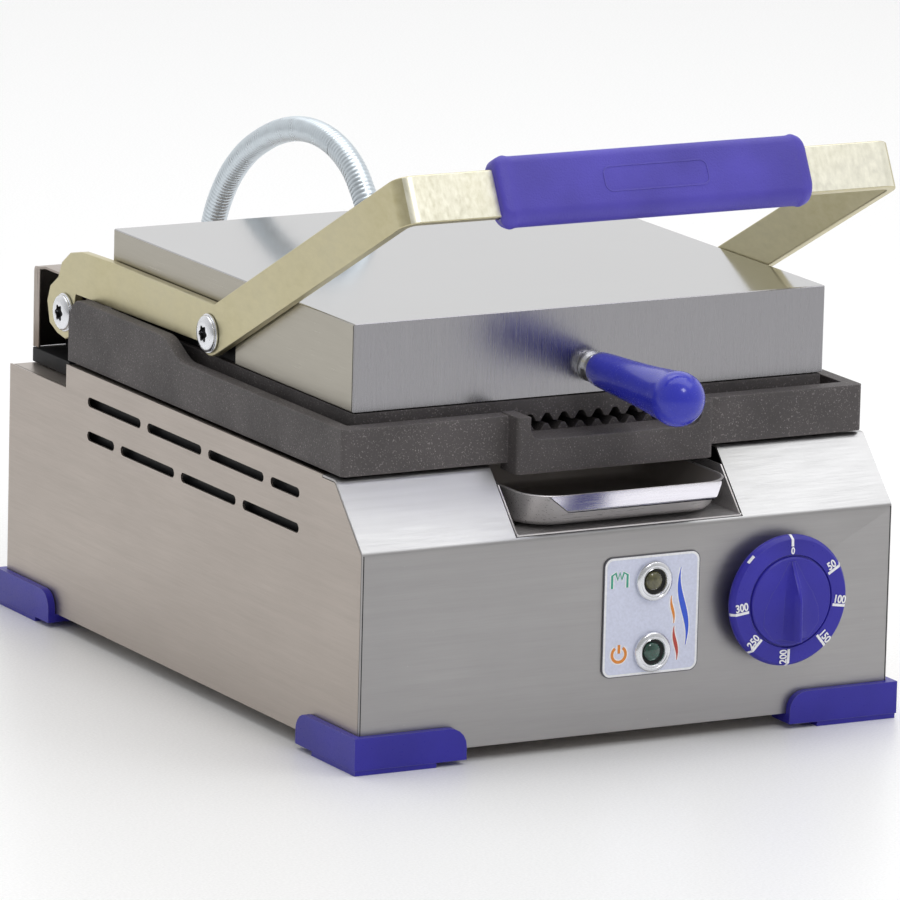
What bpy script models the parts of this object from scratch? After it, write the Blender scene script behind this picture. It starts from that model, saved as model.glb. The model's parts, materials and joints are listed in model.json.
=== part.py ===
"""Panini press: ribbed cast plates, a sprung lifting yoke and a lid that floats on its own pivots.

Metres, +Z up, +Y to the back. Outlines are in housing coordinates: y = 0 on the front face and z = 0
on the housing's bottom edge. The "housing" empty carries them to the part's own frame, whose origin
is on the ground in the middle of the footprint. Moving pieces hang from an empty on their joint.
"""
import math

import bmesh
import bpy
from mathutils import Vector

# Housing
HALF_WIDTH = 0.155
DEPTH = 0.406
FRONT_HEIGHT = 0.1055
SHOULDER_Y = 0.031
TOP_Z = 0.138
REAR_STEP_Y = 0.338
REAR_DECK_Z = 0.1253
SHEET = 0.0012
GAP = 0.0004
SHELF = 0.045
NOTCH_HALF = 0.0665
INNER_HALF = HALF_WIDTH - SHEET - GAP

# Vents in the side panels
SLOT_LONG = 0.0625
SLOT_SHORT = 0.032
SLOT_SPACE = 0.0076
SLOT_HEIGHT = 0.0052
SLOT_START_Y = 0.0695
SLOT_ROWS = ((0.123, (SLOT_SHORT, SLOT_LONG, SLOT_LONG, SLOT_LONG)),
             (0.1046, (SLOT_LONG, SLOT_LONG, SLOT_LONG, SLOT_SHORT)))

# Feet
FOOT_DROP = 0.0077
FOOT_PROUD = 0.0045
FOOT_WING = 0.060
FOOT_TOP = 0.012
FOOT_FLOOR = 0.005
FOOT_ROUND = 0.010
FOOT_SHELF = 0.014

# Lower plate
PLATE_HALF = 0.1526
PLATE_FRONT = 0.0286
PLATE_BACK = 0.3414
PLATE_BOTTOM = 0.1393
PLATE_RIM = 0.1638
PLATE_RAISED = 0.1737
CAVITY_HALF = 0.145
CAVITY_FRONT = 0.038
CAVITY_BACK = 0.332
REAR_WALL_TOP = 0.168
GROOVE_Z = 0.1495
RIB_Z = 0.1535
RIB_PITCH = 0.010
GUTTER_WIDTH = 0.008
SPOUT_HALF = 0.0575
SPOUT_FRONT = 0.018
SPOUT_BOTTOM = 0.1348
CHANNEL_HALF = 0.050
CHANNEL_Z = 0.1525

# Lid
LID_HALF = 0.1382
LID_FRONT = 0.046
LID_BACK = 0.318
LID_TOP = 0.2139
LID_SKIRT = 0.168
LID_STEP_Y = 0.176
LID_STEP_Z = 0.1968
UPPER_BOTTOM = 0.155
UPPER_TOP = 0.1674
UPPER_HALF = 0.1372

# Yoke: a 25 x 5 flat bar
BAR_WIDTH = 0.025
BAR_THICK = 0.005
YOKE_HALF = 0.144
YOKE_RISE = math.radians(27.5)
CROSSBAR = Vector((0.0, -0.009, 0.287))
CORNER_RADIUS = 0.009
UNDERSIDE_Z = 0.1733
ARM_TOP_Z = 0.1977
REAR_PIVOT = Vector((0.0, 0.3625, 0.1608))
LID_PIVOT = Vector((0.0, 0.1940, 0.1815))
BOSS_RADIUS = 0.0122
BOLT_RADIUS = 0.004
BOLT_HEAD = 0.0098
GRIP_HALF = 0.090
HANDLE_Z = 0.182

# Front controls
KNOB_CENTRE = Vector((0.0885, 0.0, 0.0628))
KNOB_RADIUS = 0.0345
LAMP_X = 0.0132
LAMP_HEIGHTS = {"upper": 0.0779, "lower": 0.0408}
LABEL_LEFT, LABEL_RIGHT = -0.0156, 0.0407
LABEL_LOW, LABEL_HIGH = 0.0286, 0.0919

# Tower over the hinge
TOWER_HALF = 0.142
TOWER_INNER_HALF = 0.1384
TOWER_FRONT = 0.3475
TOWER_BACK = 0.405
TOWER_TOP = 0.1785
TOWER_BASE_Z = 0.1337

# Conduit: the armoured lead that loops from the rear panel over to the lid
CONDUIT_X = -0.003
CONDUIT_RADIUS = 0.0072
CONDUIT_LID_Y = 0.2846
CONDUIT_REAR_Z = 0.106

# Inlet of the supply cord
GLAND_X = -0.105
GLAND_Z = 0.035

# Tray
TRAY_HALF = 0.060
TRAY_FRONT = -0.004
TRAY_BACK = 0.095
TRAY_RIM = 0.1275
TRAY_BOTTOM = 0.1090
TRAY_SHEET = 0.001

# The footprint runs from the tip of the handle to the back of the conduit
HANDLE_TIP_Y = -0.0565
CONDUIT_BACK_Y = 0.4763
FRONT_FACE_Y = -(HANDLE_TIP_Y + CONDUIT_BACK_Y) / 2

# colour, roughness, metallic
FINISHES = {
    "side_steel": ((0.45, 0.42, 0.38), 0.34, 1.0),
    "brushed_steel": ((0.50, 0.50, 0.51), 0.30, 1.0),
    "bright_steel": ((0.62, 0.62, 0.64), 0.16, 1.0),
    "cast_iron": ((0.11, 0.10, 0.10), 0.62, 0.3),
    "zinc_yellow": ((0.60, 0.56, 0.36), 0.36, 1.0),
    "fastener_zinc": ((0.66, 0.67, 0.70), 0.28, 1.0),
    "blue_plastic": ((0.055, 0.045, 0.42), 0.38, 0.0),
    "violet_sleeve": ((0.11, 0.08, 0.45), 0.42, 0.0),
    "black_steel": ((0.02, 0.02, 0.022), 0.5, 0.4),
    "spring_steel": ((0.14, 0.14, 0.15), 0.35, 1.0),
    "bronze": ((0.48, 0.33, 0.16), 0.4, 1.0),
    "element": ((0.10, 0.10, 0.09), 0.5, 0.8),
    "conduit_zinc": ((0.66, 0.70, 0.74), 0.22, 1.0),
    "label_film": ((0.62, 0.66, 0.82), 0.3, 0.0),
    "amber_lens": ((0.14, 0.12, 0.03), 0.1, 0.0),
    "green_lens": ((0.02, 0.12, 0.07), 0.1, 0.0),
    "ceramic": ((0.78, 0.74, 0.66), 0.6, 0.0),
    "black_plastic": ((0.02, 0.02, 0.02), 0.5, 0.0),
}


# ---------------------------------------------------------------- outlines

def arc(centre, radius, start_deg, end_deg, steps):
    """Points on an arc in the plane, both ends included."""
    points = []
    for i in range(steps + 1):
        angle = math.radians(start_deg + (end_deg - start_deg) * i / steps)
        points.append((centre[0] + radius * math.cos(angle), centre[1] + radius * math.sin(angle)))
    return points


def rectangle(low, high):
    return [(low[0], low[1]), (high[0], low[1]), (high[0], high[1]), (low[0], high[1])]


def rounded_rectangle(low, high, radii, steps=4):
    """Counter-clockwise from the lower left corner; one radius for each corner."""
    corners = [(low[0], low[1]), (high[0], low[1]), (high[0], high[1]), (low[0], high[1])]
    inward = [(1, 1), (-1, 1), (-1, -1), (1, -1)]
    points = []
    for i, (corner, side, radius) in enumerate(zip(corners, inward, radii)):
        centre = (corner[0] + side[0] * radius, corner[1] + side[1] * radius)
        points += arc(centre, radius, 180 + 90 * i, 270 + 90 * i, steps)
    return points


def stadium(start, end, height, steps=5):
    """A slot with round ends, from start to end along the first axis."""
    radius = height / 2
    right = arc((end[0] - radius, end[1]), radius, -90, 90, steps)
    left = arc((start[0] + radius, start[1]), radius, 90, 270, steps)
    return right + left


def fillet(points, radius, steps=3):
    """An open path with every inner corner replaced by a short arc-like curve."""
    out = [points[0]]
    for before, corner, after in zip(points, points[1:], points[2:]):
        corner = Vector(corner)
        start = corner + (Vector(before) - corner).normalized() * radius
        end = corner + (Vector(after) - corner).normalized() * radius
        for i in range(steps + 1):
            t = i / steps
            point = start * (1 - t) ** 2 + corner * (2 * t * (1 - t)) + end * t ** 2
            out.append((point.x, point.y))
    out.append(points[-1])
    return out


def offset_path(points, distance):
    """The open path moved to its right-hand side, with mitred corners."""
    normals = []
    for a, b in zip(points, points[1:]):
        along = (Vector(b) - Vector(a)).normalized()
        normals.append(Vector((along.y, -along.x)))
    out = []
    for i, point in enumerate(points):
        first = normals[max(i - 1, 0)]
        second = normals[min(i, len(normals) - 1)]
        mitre = (first + second).normalized()
        moved = Vector(point) + mitre * (distance / mitre.dot(first))
        out.append((moved.x, moved.y))
    return out


def sheet_outline(path, thickness=SHEET):
    """The closed outline of a folded sheet whose outer face follows the path."""
    return list(path) + list(reversed(offset_path(path, thickness)))


def smooth_route(points, steps):
    """A Catmull-Rom curve through 3-D points."""
    knots = [Vector(p) for p in points]
    knots = [2 * knots[0] - knots[1]] + knots + [2 * knots[-1] - knots[-2]]
    out = []
    for i in range(1, len(knots) - 2):
        a, b, c, d = knots[i - 1:i + 3]
        for j in range(steps):
            t = j / steps
            out.append(0.5 * (2 * b + (c - a) * t + (2 * a - 5 * b + 4 * c - d) * t ** 2
                              + (3 * b - a - 3 * c + d) * t ** 3))
    out.append(knots[-2])
    return out


# ---------------------------------------------------------------- solids

AXES = {"x": (1, 2, 0), "y": (0, 2, 1), "z": (0, 1, 2)}


def point_on(axis, u, v, along):
    """The 3-D point whose in-plane coordinates are u and v, at a height along the axis."""
    point = Vector((0, 0, 0))
    first, second, third = AXES[axis]
    point[first], point[second], point[third] = u, v, along
    return point


def loft(bm, rings):
    """Skin between rings of equal length, with flat end caps."""
    rows = [[bm.verts.new(p) for p in ring] for ring in rings]
    for row, following in zip(rows, rows[1:]):
        for i in range(len(row)):
            j = (i + 1) % len(row)
            bm.faces.new((row[i], row[j], following[j], following[i]))
    bm.faces.new(rows[0])
    bm.faces.new(rows[-1])


def prism(bm, outline, axis, start, end):
    """The outline extruded along an axis."""
    loft(bm, [[point_on(axis, u, v, along) for u, v in outline] for along in (start, end)])


def block(bm, low, high):
    prism(bm, rectangle(low[:2], high[:2]), "z", low[2], high[2])


def turned(bm, profile, axis, centre, segments=24):
    """A closed (radius, height) profile turned about an axis through the centre.

    A profile point at radius 0 becomes one vertex, and two in a row join no faces."""
    first, second, third = AXES[axis]
    rings = []
    for radius, height in profile:
        if radius == 0:
            point = Vector(centre)
            point[third] += height
            rings.append([bm.verts.new(point)])
            continue
        ring = []
        for i in range(segments):
            angle = 2 * math.pi * i / segments
            point = Vector(centre)
            point[first] += radius * math.cos(angle)
            point[second] += radius * math.sin(angle)
            point[third] += height
            ring.append(bm.verts.new(point))
        rings.append(ring)
    for a, b in zip(rings, rings[1:] + rings[:1]):
        if len(a) == len(b) == 1:
            continue
        for i in range(segments):
            j = (i + 1) % segments
            if len(a) == 1:
                bm.faces.new((a[0], b[j], b[i]))
            elif len(b) == 1:
                bm.faces.new((a[i], a[j], b[0]))
            else:
                bm.faces.new((a[i], a[j], b[j], b[i]))


def sweep(bm, path, radius, sides):
    """A round wire along 3-D points, with flat ends; its rings don't twist."""
    points = [Vector(p) for p in path]
    tangents = []
    for i in range(len(points)):
        before, after = points[max(i - 1, 0)], points[min(i + 1, len(points) - 1)]
        tangents.append((after - before).normalized())
    side = tangents[0].orthogonal().normalized()
    rings = []
    for i, (point, tangent) in enumerate(zip(points, tangents)):
        if i:
            side = tangents[i - 1].rotation_difference(tangent) @ side
        up = tangent.cross(side)
        ring = []
        for k in range(sides):
            angle = 2 * math.pi * k / sides
            ring.append(point + side * (radius * math.cos(angle)) + up * (radius * math.sin(angle)))
        rings.append(ring)
    loft(bm, rings)


def pan(bm, rim, bottom, rim_z, bottom_z, sheet):
    """An open vessel from a rim outline and a bottom outline of equal length."""
    def shrunk(outline):
        centre = sum((Vector(p) for p in outline), Vector((0, 0))) / len(outline)
        half = [max(abs(p[i] - centre[i]) for p in outline) for i in (0, 1)]
        return [tuple(centre[i] + (p[i] - centre[i]) * (1 - sheet / half[i]) for i in (0, 1))
                for p in outline]

    floor_z = bottom_z + math.copysign(sheet, rim_z - bottom_z)
    levels = ((bottom, bottom_z), (rim, rim_z), (shrunk(rim), rim_z), (shrunk(bottom), floor_z))
    loft(bm, [[Vector((x, y, z)) for x, y in outline] for outline, z in levels])


# ---------------------------------------------------------------- objects

EMPTIES = {}
MATERIALS = {}


def clear_scene():
    for obj in list(bpy.data.objects):
        bpy.data.objects.remove(obj, do_unlink=True)


def make_empty(name, place, parent=None):
    """An empty at a housing coordinate, or at a world one when it has no parent."""
    empty = bpy.data.objects.new(name, None)
    empty.empty_display_size = 0.03
    bpy.context.scene.collection.objects.link(empty)
    EMPTIES[name] = (empty, Vector(place) if parent else Vector((0, 0, 0)))
    if parent:
        empty.parent = EMPTIES[parent][0]
        empty.location = Vector(place) - EMPTIES[parent][1]
    else:
        empty.location = place


def finish_material(finish):
    """The Principled material for a finish, made once."""
    if finish not in MATERIALS:
        colour, roughness, metallic = FINISHES[finish]
        material = bpy.data.materials.new(finish)
        material.use_nodes = True
        shader = material.node_tree.nodes["Principled BSDF"]
        shader.inputs["Base Color"].default_value = (*colour, 1.0)
        shader.inputs["Roughness"].default_value = roughness
        shader.inputs["Metallic"].default_value = metallic
        material.diffuse_color = (*colour, 1.0)
        MATERIALS[finish] = material
    return MATERIALS[finish]


def add_object(name, bm, parent):
    """An object from a mesh in housing coordinates, hung from an empty."""
    bmesh.ops.recalc_face_normals(bm, faces=bm.faces)
    mesh = bpy.data.meshes.new(name)
    bm.to_mesh(mesh)
    bm.free()
    obj = bpy.data.objects.new(name, mesh)
    bpy.context.scene.collection.objects.link(obj)
    empty, origin = EMPTIES[parent]
    obj.parent = empty
    obj.location = -origin
    return obj


def part(name, finish, parent, *shapes, smooth_deg=None):
    """One named piece of the press, drawn by the shape functions."""
    bm = bmesh.new()
    for shape in shapes:
        shape(bm)
    obj = add_object(name, bm, parent)
    obj.data.materials.append(finish_material(finish))
    if smooth_deg:
        obj.data.shade_smooth()
        obj.data.set_sharp_from_angle(angle=math.radians(smooth_deg))
    return obj


def combine(target, operation, shape):
    """Join a shape to the target, or cut it away, with a hidden operand."""
    bm = bmesh.new()
    shape(bm)
    label = f"{target.name}_{operation.lower()}_{len(target.modifiers)}"
    operand = bpy.data.objects.new(label, bpy.data.meshes.new(label))
    bmesh.ops.recalc_face_normals(bm, faces=bm.faces)
    bm.to_mesh(operand.data)
    bm.free()
    bpy.context.scene.collection.objects.link(operand)
    operand.parent = target.parent
    operand.location = target.location
    operand.display_type = "WIRE"
    operand.hide_render = True
    boolean = target.modifiers.new(operation.lower(), "BOOLEAN")
    boolean.operation = operation
    boolean.object = operand


def join(target, shape):
    combine(target, "UNION", shape)


def cut(target, shape):
    combine(target, "DIFFERENCE", shape)


def soften(target, width):
    """Bevel the sharp edges left after the Booleans."""
    bevel = target.modifiers.new("soft_edges", "BEVEL")
    bevel.width = width
    bevel.segments = 1
    bevel.limit_method = "ANGLE"
    bevel.angle_limit = math.radians(50)


def bar(low, high):
    """A block as a shape function."""
    return lambda bm: block(bm, low, high)


def rod(axis, centre, radius, start, end, segments=20):
    """A plain cylinder as a shape function; start and end are measured from the centre."""
    profile = [(0, start), (radius, start), (radius, end), (0, end)]
    return lambda bm: turned(bm, profile, axis, centre, segments)


# ---------------------------------------------------------------- housing

FRONT_PATH = [(0.0, 0.0), (0.0, FRONT_HEIGHT), (SHOULDER_Y, TOP_Z), (SHELF, TOP_Z)]


def side_panel(name, side):
    """A flat side with its rear step, a shelf under the plate and two rows of vents."""
    outer = side * HALF_WIDTH
    inner = side * (HALF_WIDTH - SHEET)
    outline = offset_path(FRONT_PATH, SHEET + GAP)
    outline += [(SHELF + GAP, TOP_Z - SHEET - GAP), (SHELF + GAP, TOP_Z), (REAR_STEP_Y, TOP_Z)]
    outline += [(REAR_STEP_Y, REAR_DECK_Z), (DEPTH, REAR_DECK_Z), (DEPTH, 0.0)]
    panel = part(name, "side_steel", "housing", lambda bm: prism(bm, outline, "x", outer, inner))
    shelf_in = side * (HALF_WIDTH - 0.012)
    shelf_low = (min(shelf_in, side * (HALF_WIDTH - 0.0002)), SHELF + 0.002, TOP_Z - SHEET)
    shelf_high = (max(shelf_in, side * (HALF_WIDTH - 0.0002)), REAR_STEP_Y - 0.002, TOP_Z - 0.0002)
    join(panel, bar(shelf_low, shelf_high))

    def vents(bm):
        for height, lengths in SLOT_ROWS:
            start = SLOT_START_Y
            for length in lengths:
                slot = stadium((start, height), (start + length, height), SLOT_HEIGHT)
                prism(bm, slot, "x", side * (HALF_WIDTH + 0.002), side * (HALF_WIDTH - 0.004))
                start += length + SLOT_SPACE

    cut(panel, vents)


def vent_screen(name, side):
    """A black channel inside the vents, so that nothing reaches the wiring through them."""
    web, wall, low, high = 0.1496, 0.0008, 0.0880, 0.1350
    reach = HALF_WIDTH - SHEET - GAP
    outline = [(reach, low), (reach, low + wall), (web + wall, low + wall), (web + wall, high - wall),
               (reach, high - wall), (reach, high), (web, high), (web, low)]
    part(name, "black_steel", "housing",
         lambda bm: prism(bm, [(side * x, z) for x, z in outline], "y", 0.062, 0.326))


def front_panel():
    """Front face, sloping shoulder and top shelf in one folded sheet, notched for the tray."""
    outline = sheet_outline(fillet(FRONT_PATH, 0.0015))
    panel = part("front_panel", "brushed_steel", "housing",
                 lambda bm: prism(bm, outline, "x", -HALF_WIDTH, HALF_WIDTH), smooth_deg=50)
    cut(panel, bar((-NOTCH_HALF, -0.01, FRONT_HEIGHT + 0.0012), (NOTCH_HALF, SHELF + 0.01, 0.15)))

    def holes(bm):
        for height in LAMP_HEIGHTS.values():
            rod("y", (LAMP_X, 0, height), 0.0083, -0.01, 0.01)(bm)
        rod("y", KNOB_CENTRE, 0.0045, -0.01, 0.01)(bm)

    cut(panel, holes)


def rear_panel():
    low = (-INNER_HALF, DEPTH - SHEET, GAP)
    high = (INNER_HALF, DEPTH, REAR_DECK_Z - SHEET - GAP)
    panel = part("rear_panel", "side_steel", "housing", bar(low, high))

    def holes(bm):
        rod("y", (CONDUIT_X, DEPTH, CONDUIT_REAR_Z), 0.0094, -0.01, 0.01)(bm)
        rod("y", (GLAND_X, DEPTH, GLAND_Z), 0.0084, -0.01, 0.01)(bm)
        for side in (-1, 1):
            for k in range(3):
                x = side * (0.045 + 0.03 * k)
                slot = stadium((0.066, x), (0.104, x), SLOT_HEIGHT)
                loft(bm, [[Vector((v, along, u)) for u, v in slot]
                          for along in (DEPTH - 0.004, DEPTH + 0.002)])

    cut(panel, holes)


def rear_deck():
    """The lowered deck behind the plate, with its riser."""
    path = fillet([(REAR_STEP_Y + 0.0005, TOP_Z - 0.0005), (REAR_STEP_Y + 0.0005, REAR_DECK_Z),
                   (DEPTH - SHEET - GAP, REAR_DECK_Z)], 0.001, 2)
    outline = list(path) + list(reversed(offset_path(path, SHEET)))
    part("rear_deck", "side_steel", "housing",
         lambda bm: prism(bm, outline, "x", -INNER_HALF, INNER_HALF), smooth_deg=50)


def base_plate():
    low = (-INNER_HALF, SHEET + GAP, GAP)
    high = (INNER_HALF, DEPTH - SHEET - GAP, GAP + SHEET)
    plate = part("base_plate", "side_steel", "housing", bar(low, high))

    def slots(bm):
        for i in range(5):
            x = -0.08 + 0.04 * i
            for y in (0.10, 0.24):
                block(bm, (x - 0.003, y, -0.01), (x + 0.003, y + 0.07, 0.01))

    cut(plate, slots)


def corner_foot(name, side, back):
    """A plastic corner: two rounded wings outside the sheet metal, a floor and a pad."""
    corner_y = DEPTH if back else 0.0
    into = -1 if back else 1

    def place(points):
        return [(side * (HALF_WIDTH - u), corner_y + into * v) for u, v in points]

    def wing_profile():
        end = FOOT_WING
        top = arc((end - FOOT_ROUND, FOOT_TOP - FOOT_ROUND), FOOT_ROUND, 0, 90, 5)
        return [(-FOOT_PROUD, -FOOT_FLOOR), (end, -FOOT_FLOOR)] + top + [(-FOOT_PROUD, FOOT_TOP)]

    def side_wing(bm):
        outline = [(corner_y + into * u, v) for u, v in wing_profile()]
        prism(bm, outline, "x", side * (HALF_WIDTH + GAP), side * (HALF_WIDTH + FOOT_PROUD))

    def face_wing(bm):
        outline = [(side * (HALF_WIDTH - u), v) for u, v in wing_profile()]
        prism(bm, outline, "y", corner_y - into * GAP, corner_y - into * FOOT_PROUD)

    def elbow(reach, width, inset):
        """An L seen from above: from the outer corner, inset from it, to the reach."""
        low = inset - FOOT_PROUD
        return place([(low, low), (reach, low), (reach, width), (width, width), (width, reach),
                      (low, reach)])

    foot = part(name, "blue_plastic", "housing",
                lambda bm: prism(bm, elbow(FOOT_WING - 0.0001, FOOT_SHELF, 0.0001), "z",
                                 -FOOT_FLOOR + 0.0001, -GAP))
    join(foot, side_wing)
    join(foot, face_wing)
    pad = elbow(FOOT_WING - 0.017, FOOT_SHELF - 0.002, 0.0006)
    join(foot, lambda bm: prism(bm, pad, "z", -FOOT_DROP, -FOOT_FLOOR + 0.002))
    soften(foot, 0.0005)


# ---------------------------------------------------------------- lower plate and what heats it

def rib_profile(half, base, crest, top):
    """Trapezoid ribs from -half to half, closed by a flat side at the level called top."""
    points = []
    count = int(2 * half / RIB_PITCH)
    start = -count * RIB_PITCH / 2
    for i in range(count):
        left = start + i * RIB_PITCH
        points += [(left + 0.0012, base), (left + 0.0038, crest),
                   (left + 0.0062, crest), (left + 0.0088, base)]
    return [(-half, base)] + points + [(half, base), (half, top), (-half, top)]


def lower_plate():
    """Cast plate: a rim that rises in an S at the sides, ribs, a front gutter and a spout."""
    rise = []
    for i in range(7):
        t = i / 6
        blend = t * t * (3 - 2 * t)
        rise.append((0.234 - 0.027 * t, PLATE_RAISED + (PLATE_RIM - PLATE_RAISED) * blend))
    outline = [(PLATE_FRONT, PLATE_BOTTOM), (PLATE_BACK, PLATE_BOTTOM), (PLATE_BACK, 0.160)]
    outline += [(0.3405, 0.1655), (0.3375, 0.170), (0.3325, 0.1732), (0.329, PLATE_RAISED)]
    outline += rise + [(PLATE_FRONT, PLATE_RIM)]
    plate = part("lower_plate", "cast_iron", "housing",
                 lambda bm: prism(bm, outline, "x", -PLATE_HALF, PLATE_HALF))
    join(plate, bar((-SPOUT_HALF, SPOUT_FRONT, SPOUT_BOTTOM),
                    (SPOUT_HALF, CAVITY_FRONT - 0.002, PLATE_RIM + 0.0008)))
    cavity = rib_profile(CAVITY_HALF, GROOVE_Z, RIB_Z, 0.2)
    cut(plate, lambda bm: prism(bm, cavity, "y", CAVITY_FRONT + GUTTER_WIDTH, CAVITY_BACK))
    cut(plate, bar((-CAVITY_HALF, CAVITY_FRONT, GROOVE_Z - 0.001),
                   (CAVITY_HALF, CAVITY_FRONT + GUTTER_WIDTH + 0.001, 0.2)))
    cut(plate, bar((-CAVITY_HALF, CAVITY_BACK - 0.01, REAR_WALL_TOP), (CAVITY_HALF, 0.36, 0.21)))
    channel = rounded_rectangle((-CHANNEL_HALF, CHANNEL_Z), (CHANNEL_HALF, 0.2),
                                (0.006, 0.006, 0.001, 0.001))
    cut(plate, lambda bm: prism(bm, channel, "y", 0.0, CAVITY_FRONT + 0.004))


def element_route(height, ends_y):
    """A flat serpentine with round corners; both ends come out at the back."""
    half, front, back, inner = 0.112, 0.078, 0.290, 0.050
    corners = [(-0.014, ends_y), (-0.014, back), (-half, back), (-half, front), (-inner, front),
               (-inner, back - 0.030), (inner, back - 0.030), (inner, front), (half, front),
               (half, back), (0.014, back), (0.014, ends_y)]
    return [(x, y, height) for x, y in fillet(corners, 0.012, 3)]


def heating():
    for name, height, ends_y, parent in (("lower_element", 0.1348, 0.326, "housing"),
                                         ("upper_element", 0.1720, 0.311, "lid_pivot")):
        route = element_route(height, ends_y)
        part(name, "element", parent, lambda bm: sweep(bm, route, 0.0032, 6), smooth_deg=70)
    outline = rounded_rectangle((-0.148, 0.118), (0.148, 0.332), (0.004,) * 4, 2)
    part("lower_heat_shield", "side_steel", "housing",
         lambda bm: pan(bm, outline, outline, 0.1285, 0.1180, 0.0008))
    outline = rounded_rectangle((-0.118, 0.056), (0.118, 0.312), (0.004,) * 4, 2)
    part("upper_heat_shield", "side_steel", "lid_pivot",
         lambda bm: pan(bm, outline, outline, 0.1800, 0.1900, 0.0008))


# ---------------------------------------------------------------- drip tray and its chute

def tray_chute():
    """A channel behind the notch that the tray slides in."""
    half, wall, floor, top = 0.0658, 0.0008, 0.1070, 0.1295
    outline = [(-half, floor), (half, floor), (half, top), (half - wall, top),
               (half - wall, floor + wall), (wall - half, floor + wall), (wall - half, top),
               (-half, top)]
    chute = part("tray_chute", "bright_steel", "housing",
                 lambda bm: prism(bm, outline, "y", SHEET + GAP, 0.112))
    slope = [(-0.05, 0.1082), (0.0028, 0.1082), (0.0255, 0.132), (-0.05, 0.132)]
    cut(chute, lambda bm: prism(bm, slope, "x", -0.07, 0.07))


def drip_tray():
    """A pressed pan with a sloping front and a folded pull lip."""
    rim = rounded_rectangle((-TRAY_HALF, TRAY_FRONT), (TRAY_HALF, TRAY_BACK),
                            (0.020, 0.020, 0.008, 0.008), 5)
    bottom = rounded_rectangle((-TRAY_HALF + 0.003, TRAY_FRONT + 0.010),
                               (TRAY_HALF - 0.003, TRAY_BACK - 0.003),
                               (0.018, 0.018, 0.007, 0.007), 5)
    tray = part("drip_tray", "bright_steel", "tray_slide",
                lambda bm: pan(bm, rim, bottom, TRAY_RIM, TRAY_BOTTOM, TRAY_SHEET))

    def lip(bm):
        sections = []
        for side in (-1, 1):
            sections.append([Vector((side * half, y, z)) for half, y, z in
                             ((0.0500, -0.0032, TRAY_RIM), (0.0500, -0.0048, TRAY_RIM),
                              (0.0435, -0.0105, 0.1213), (0.0435, -0.0098, 0.1206))])
        loft(bm, sections)

    join(tray, lip)


# ---------------------------------------------------------------- front controls

def label_and_lamps():
    outline = rounded_rectangle((LABEL_LEFT, LABEL_LOW), (LABEL_RIGHT, LABEL_HIGH), (0.005,) * 4, 3)
    label = part("label_plate", "label_film", "housing",
                 lambda bm: prism(bm, outline, "y", -0.0012, -GAP))

    def holes(bm):
        for height in LAMP_HEIGHTS.values():
            rod("y", (LAMP_X, 0, height), 0.0083, -0.01, 0.01)(bm)

    cut(label, holes)
    finishes = {"upper": "amber_lens", "lower": "green_lens"}
    for level, height in LAMP_HEIGHTS.items():
        centre = (LAMP_X, 0, height)
        bezel = [(0.0105, -0.0016), (0.0105, -0.0030), (0.0098, -0.0038), (0.0072, -0.0038),
                 (0.0066, -0.0030), (0.0066, 0.0160), (0.0078, 0.0160), (0.0078, -0.0016)]
        part(f"lamp_bezel_{level}", "fastener_zinc", "housing",
             lambda bm: turned(bm, bezel, "y", centre, 18), smooth_deg=40)
        lens = [(0, 0.010), (0.0062, 0.010), (0.0062, 0.0005), (0.0052, -0.0012), (0.0030, -0.0023),
                (0, -0.0028)]
        part(f"lamp_lens_{level}", finishes[level], "housing",
             lambda bm: turned(bm, lens, "y", centre, 14), smooth_deg=60)


def thermostat():
    body = part("thermostat_body", "ceramic", "housing",
                bar((0.066, 0.0055, 0.042), (0.108, 0.040, 0.082)))
    join(body, rod("y", KNOB_CENTRE, 0.0030, -0.0085, 0.008, 12))


def thermostat_knob():
    """A hub that carries a thin chamfered scale disc, a raised centre and a pointer ridge."""
    profile = [(0.0034, -0.0010), (0.0200, -0.0010), (0.0200, -0.0072), (KNOB_RADIUS, -0.0076),
               (KNOB_RADIUS, -0.0098), (0.0328, -0.0124), (0.0246, -0.0128), (0.0238, -0.0118),
               (0.0230, -0.0136), (0.0, -0.0136), (0.0, -0.0092), (0.0034, -0.0092)]
    knob = part("thermostat_knob", "blue_plastic", "knob_axis",
                lambda bm: turned(bm, profile, "y", KNOB_CENTRE, 28), smooth_deg=35)

    def ridge(bm):
        rings = []
        for z, foot, crest, height in ((0.0222, 0.0008, 0.0004, 0.0010), (0.0150, 0.0040, 0.0008, 0.0050),
                                       (0.0020, 0.0090, 0.0014, 0.0086), (-0.0195, 0.0105, 0.0020, 0.0100)):
            section = [(-foot, 0.0131), (foot, 0.0131), (foot, 0.0137), (crest * 1.6, 0.0136 + height * 0.6),
                       (crest, 0.0136 + height), (-crest, 0.0136 + height),
                       (-crest * 1.6, 0.0136 + height * 0.6), (-foot, 0.0137)]
            rings.append([KNOB_CENTRE + Vector((x, -y, z)) for x, y in section])
        loft(bm, rings)

    join(knob, ridge)


# ---------------------------------------------------------------- hinge tower

def bolt(name, centre, side, parent, shank_end):
    """A round-headed bolt through the yoke, seen from outside; its shank ends inside."""
    start = YOKE_HALF + GAP
    profile = [(0, shank_end), (BOLT_RADIUS, shank_end), (BOLT_RADIUS, start),
               (0.0104, start), (0.0104, start + 0.0009), (BOLT_HEAD, start + 0.0010),
               (BOLT_HEAD, start + 0.0024), (0.0080, start + 0.0034), (0.0036, start + 0.0038),
               (0.0034, start + 0.0018), (0, start + 0.0018)]
    placed = [(radius, side * height) for radius, height in profile]
    part(name, "fastener_zinc", parent,
         lambda bm: turned(bm, placed, "x", (0, centre.y, centre.z), 14), smooth_deg=35)


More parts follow.
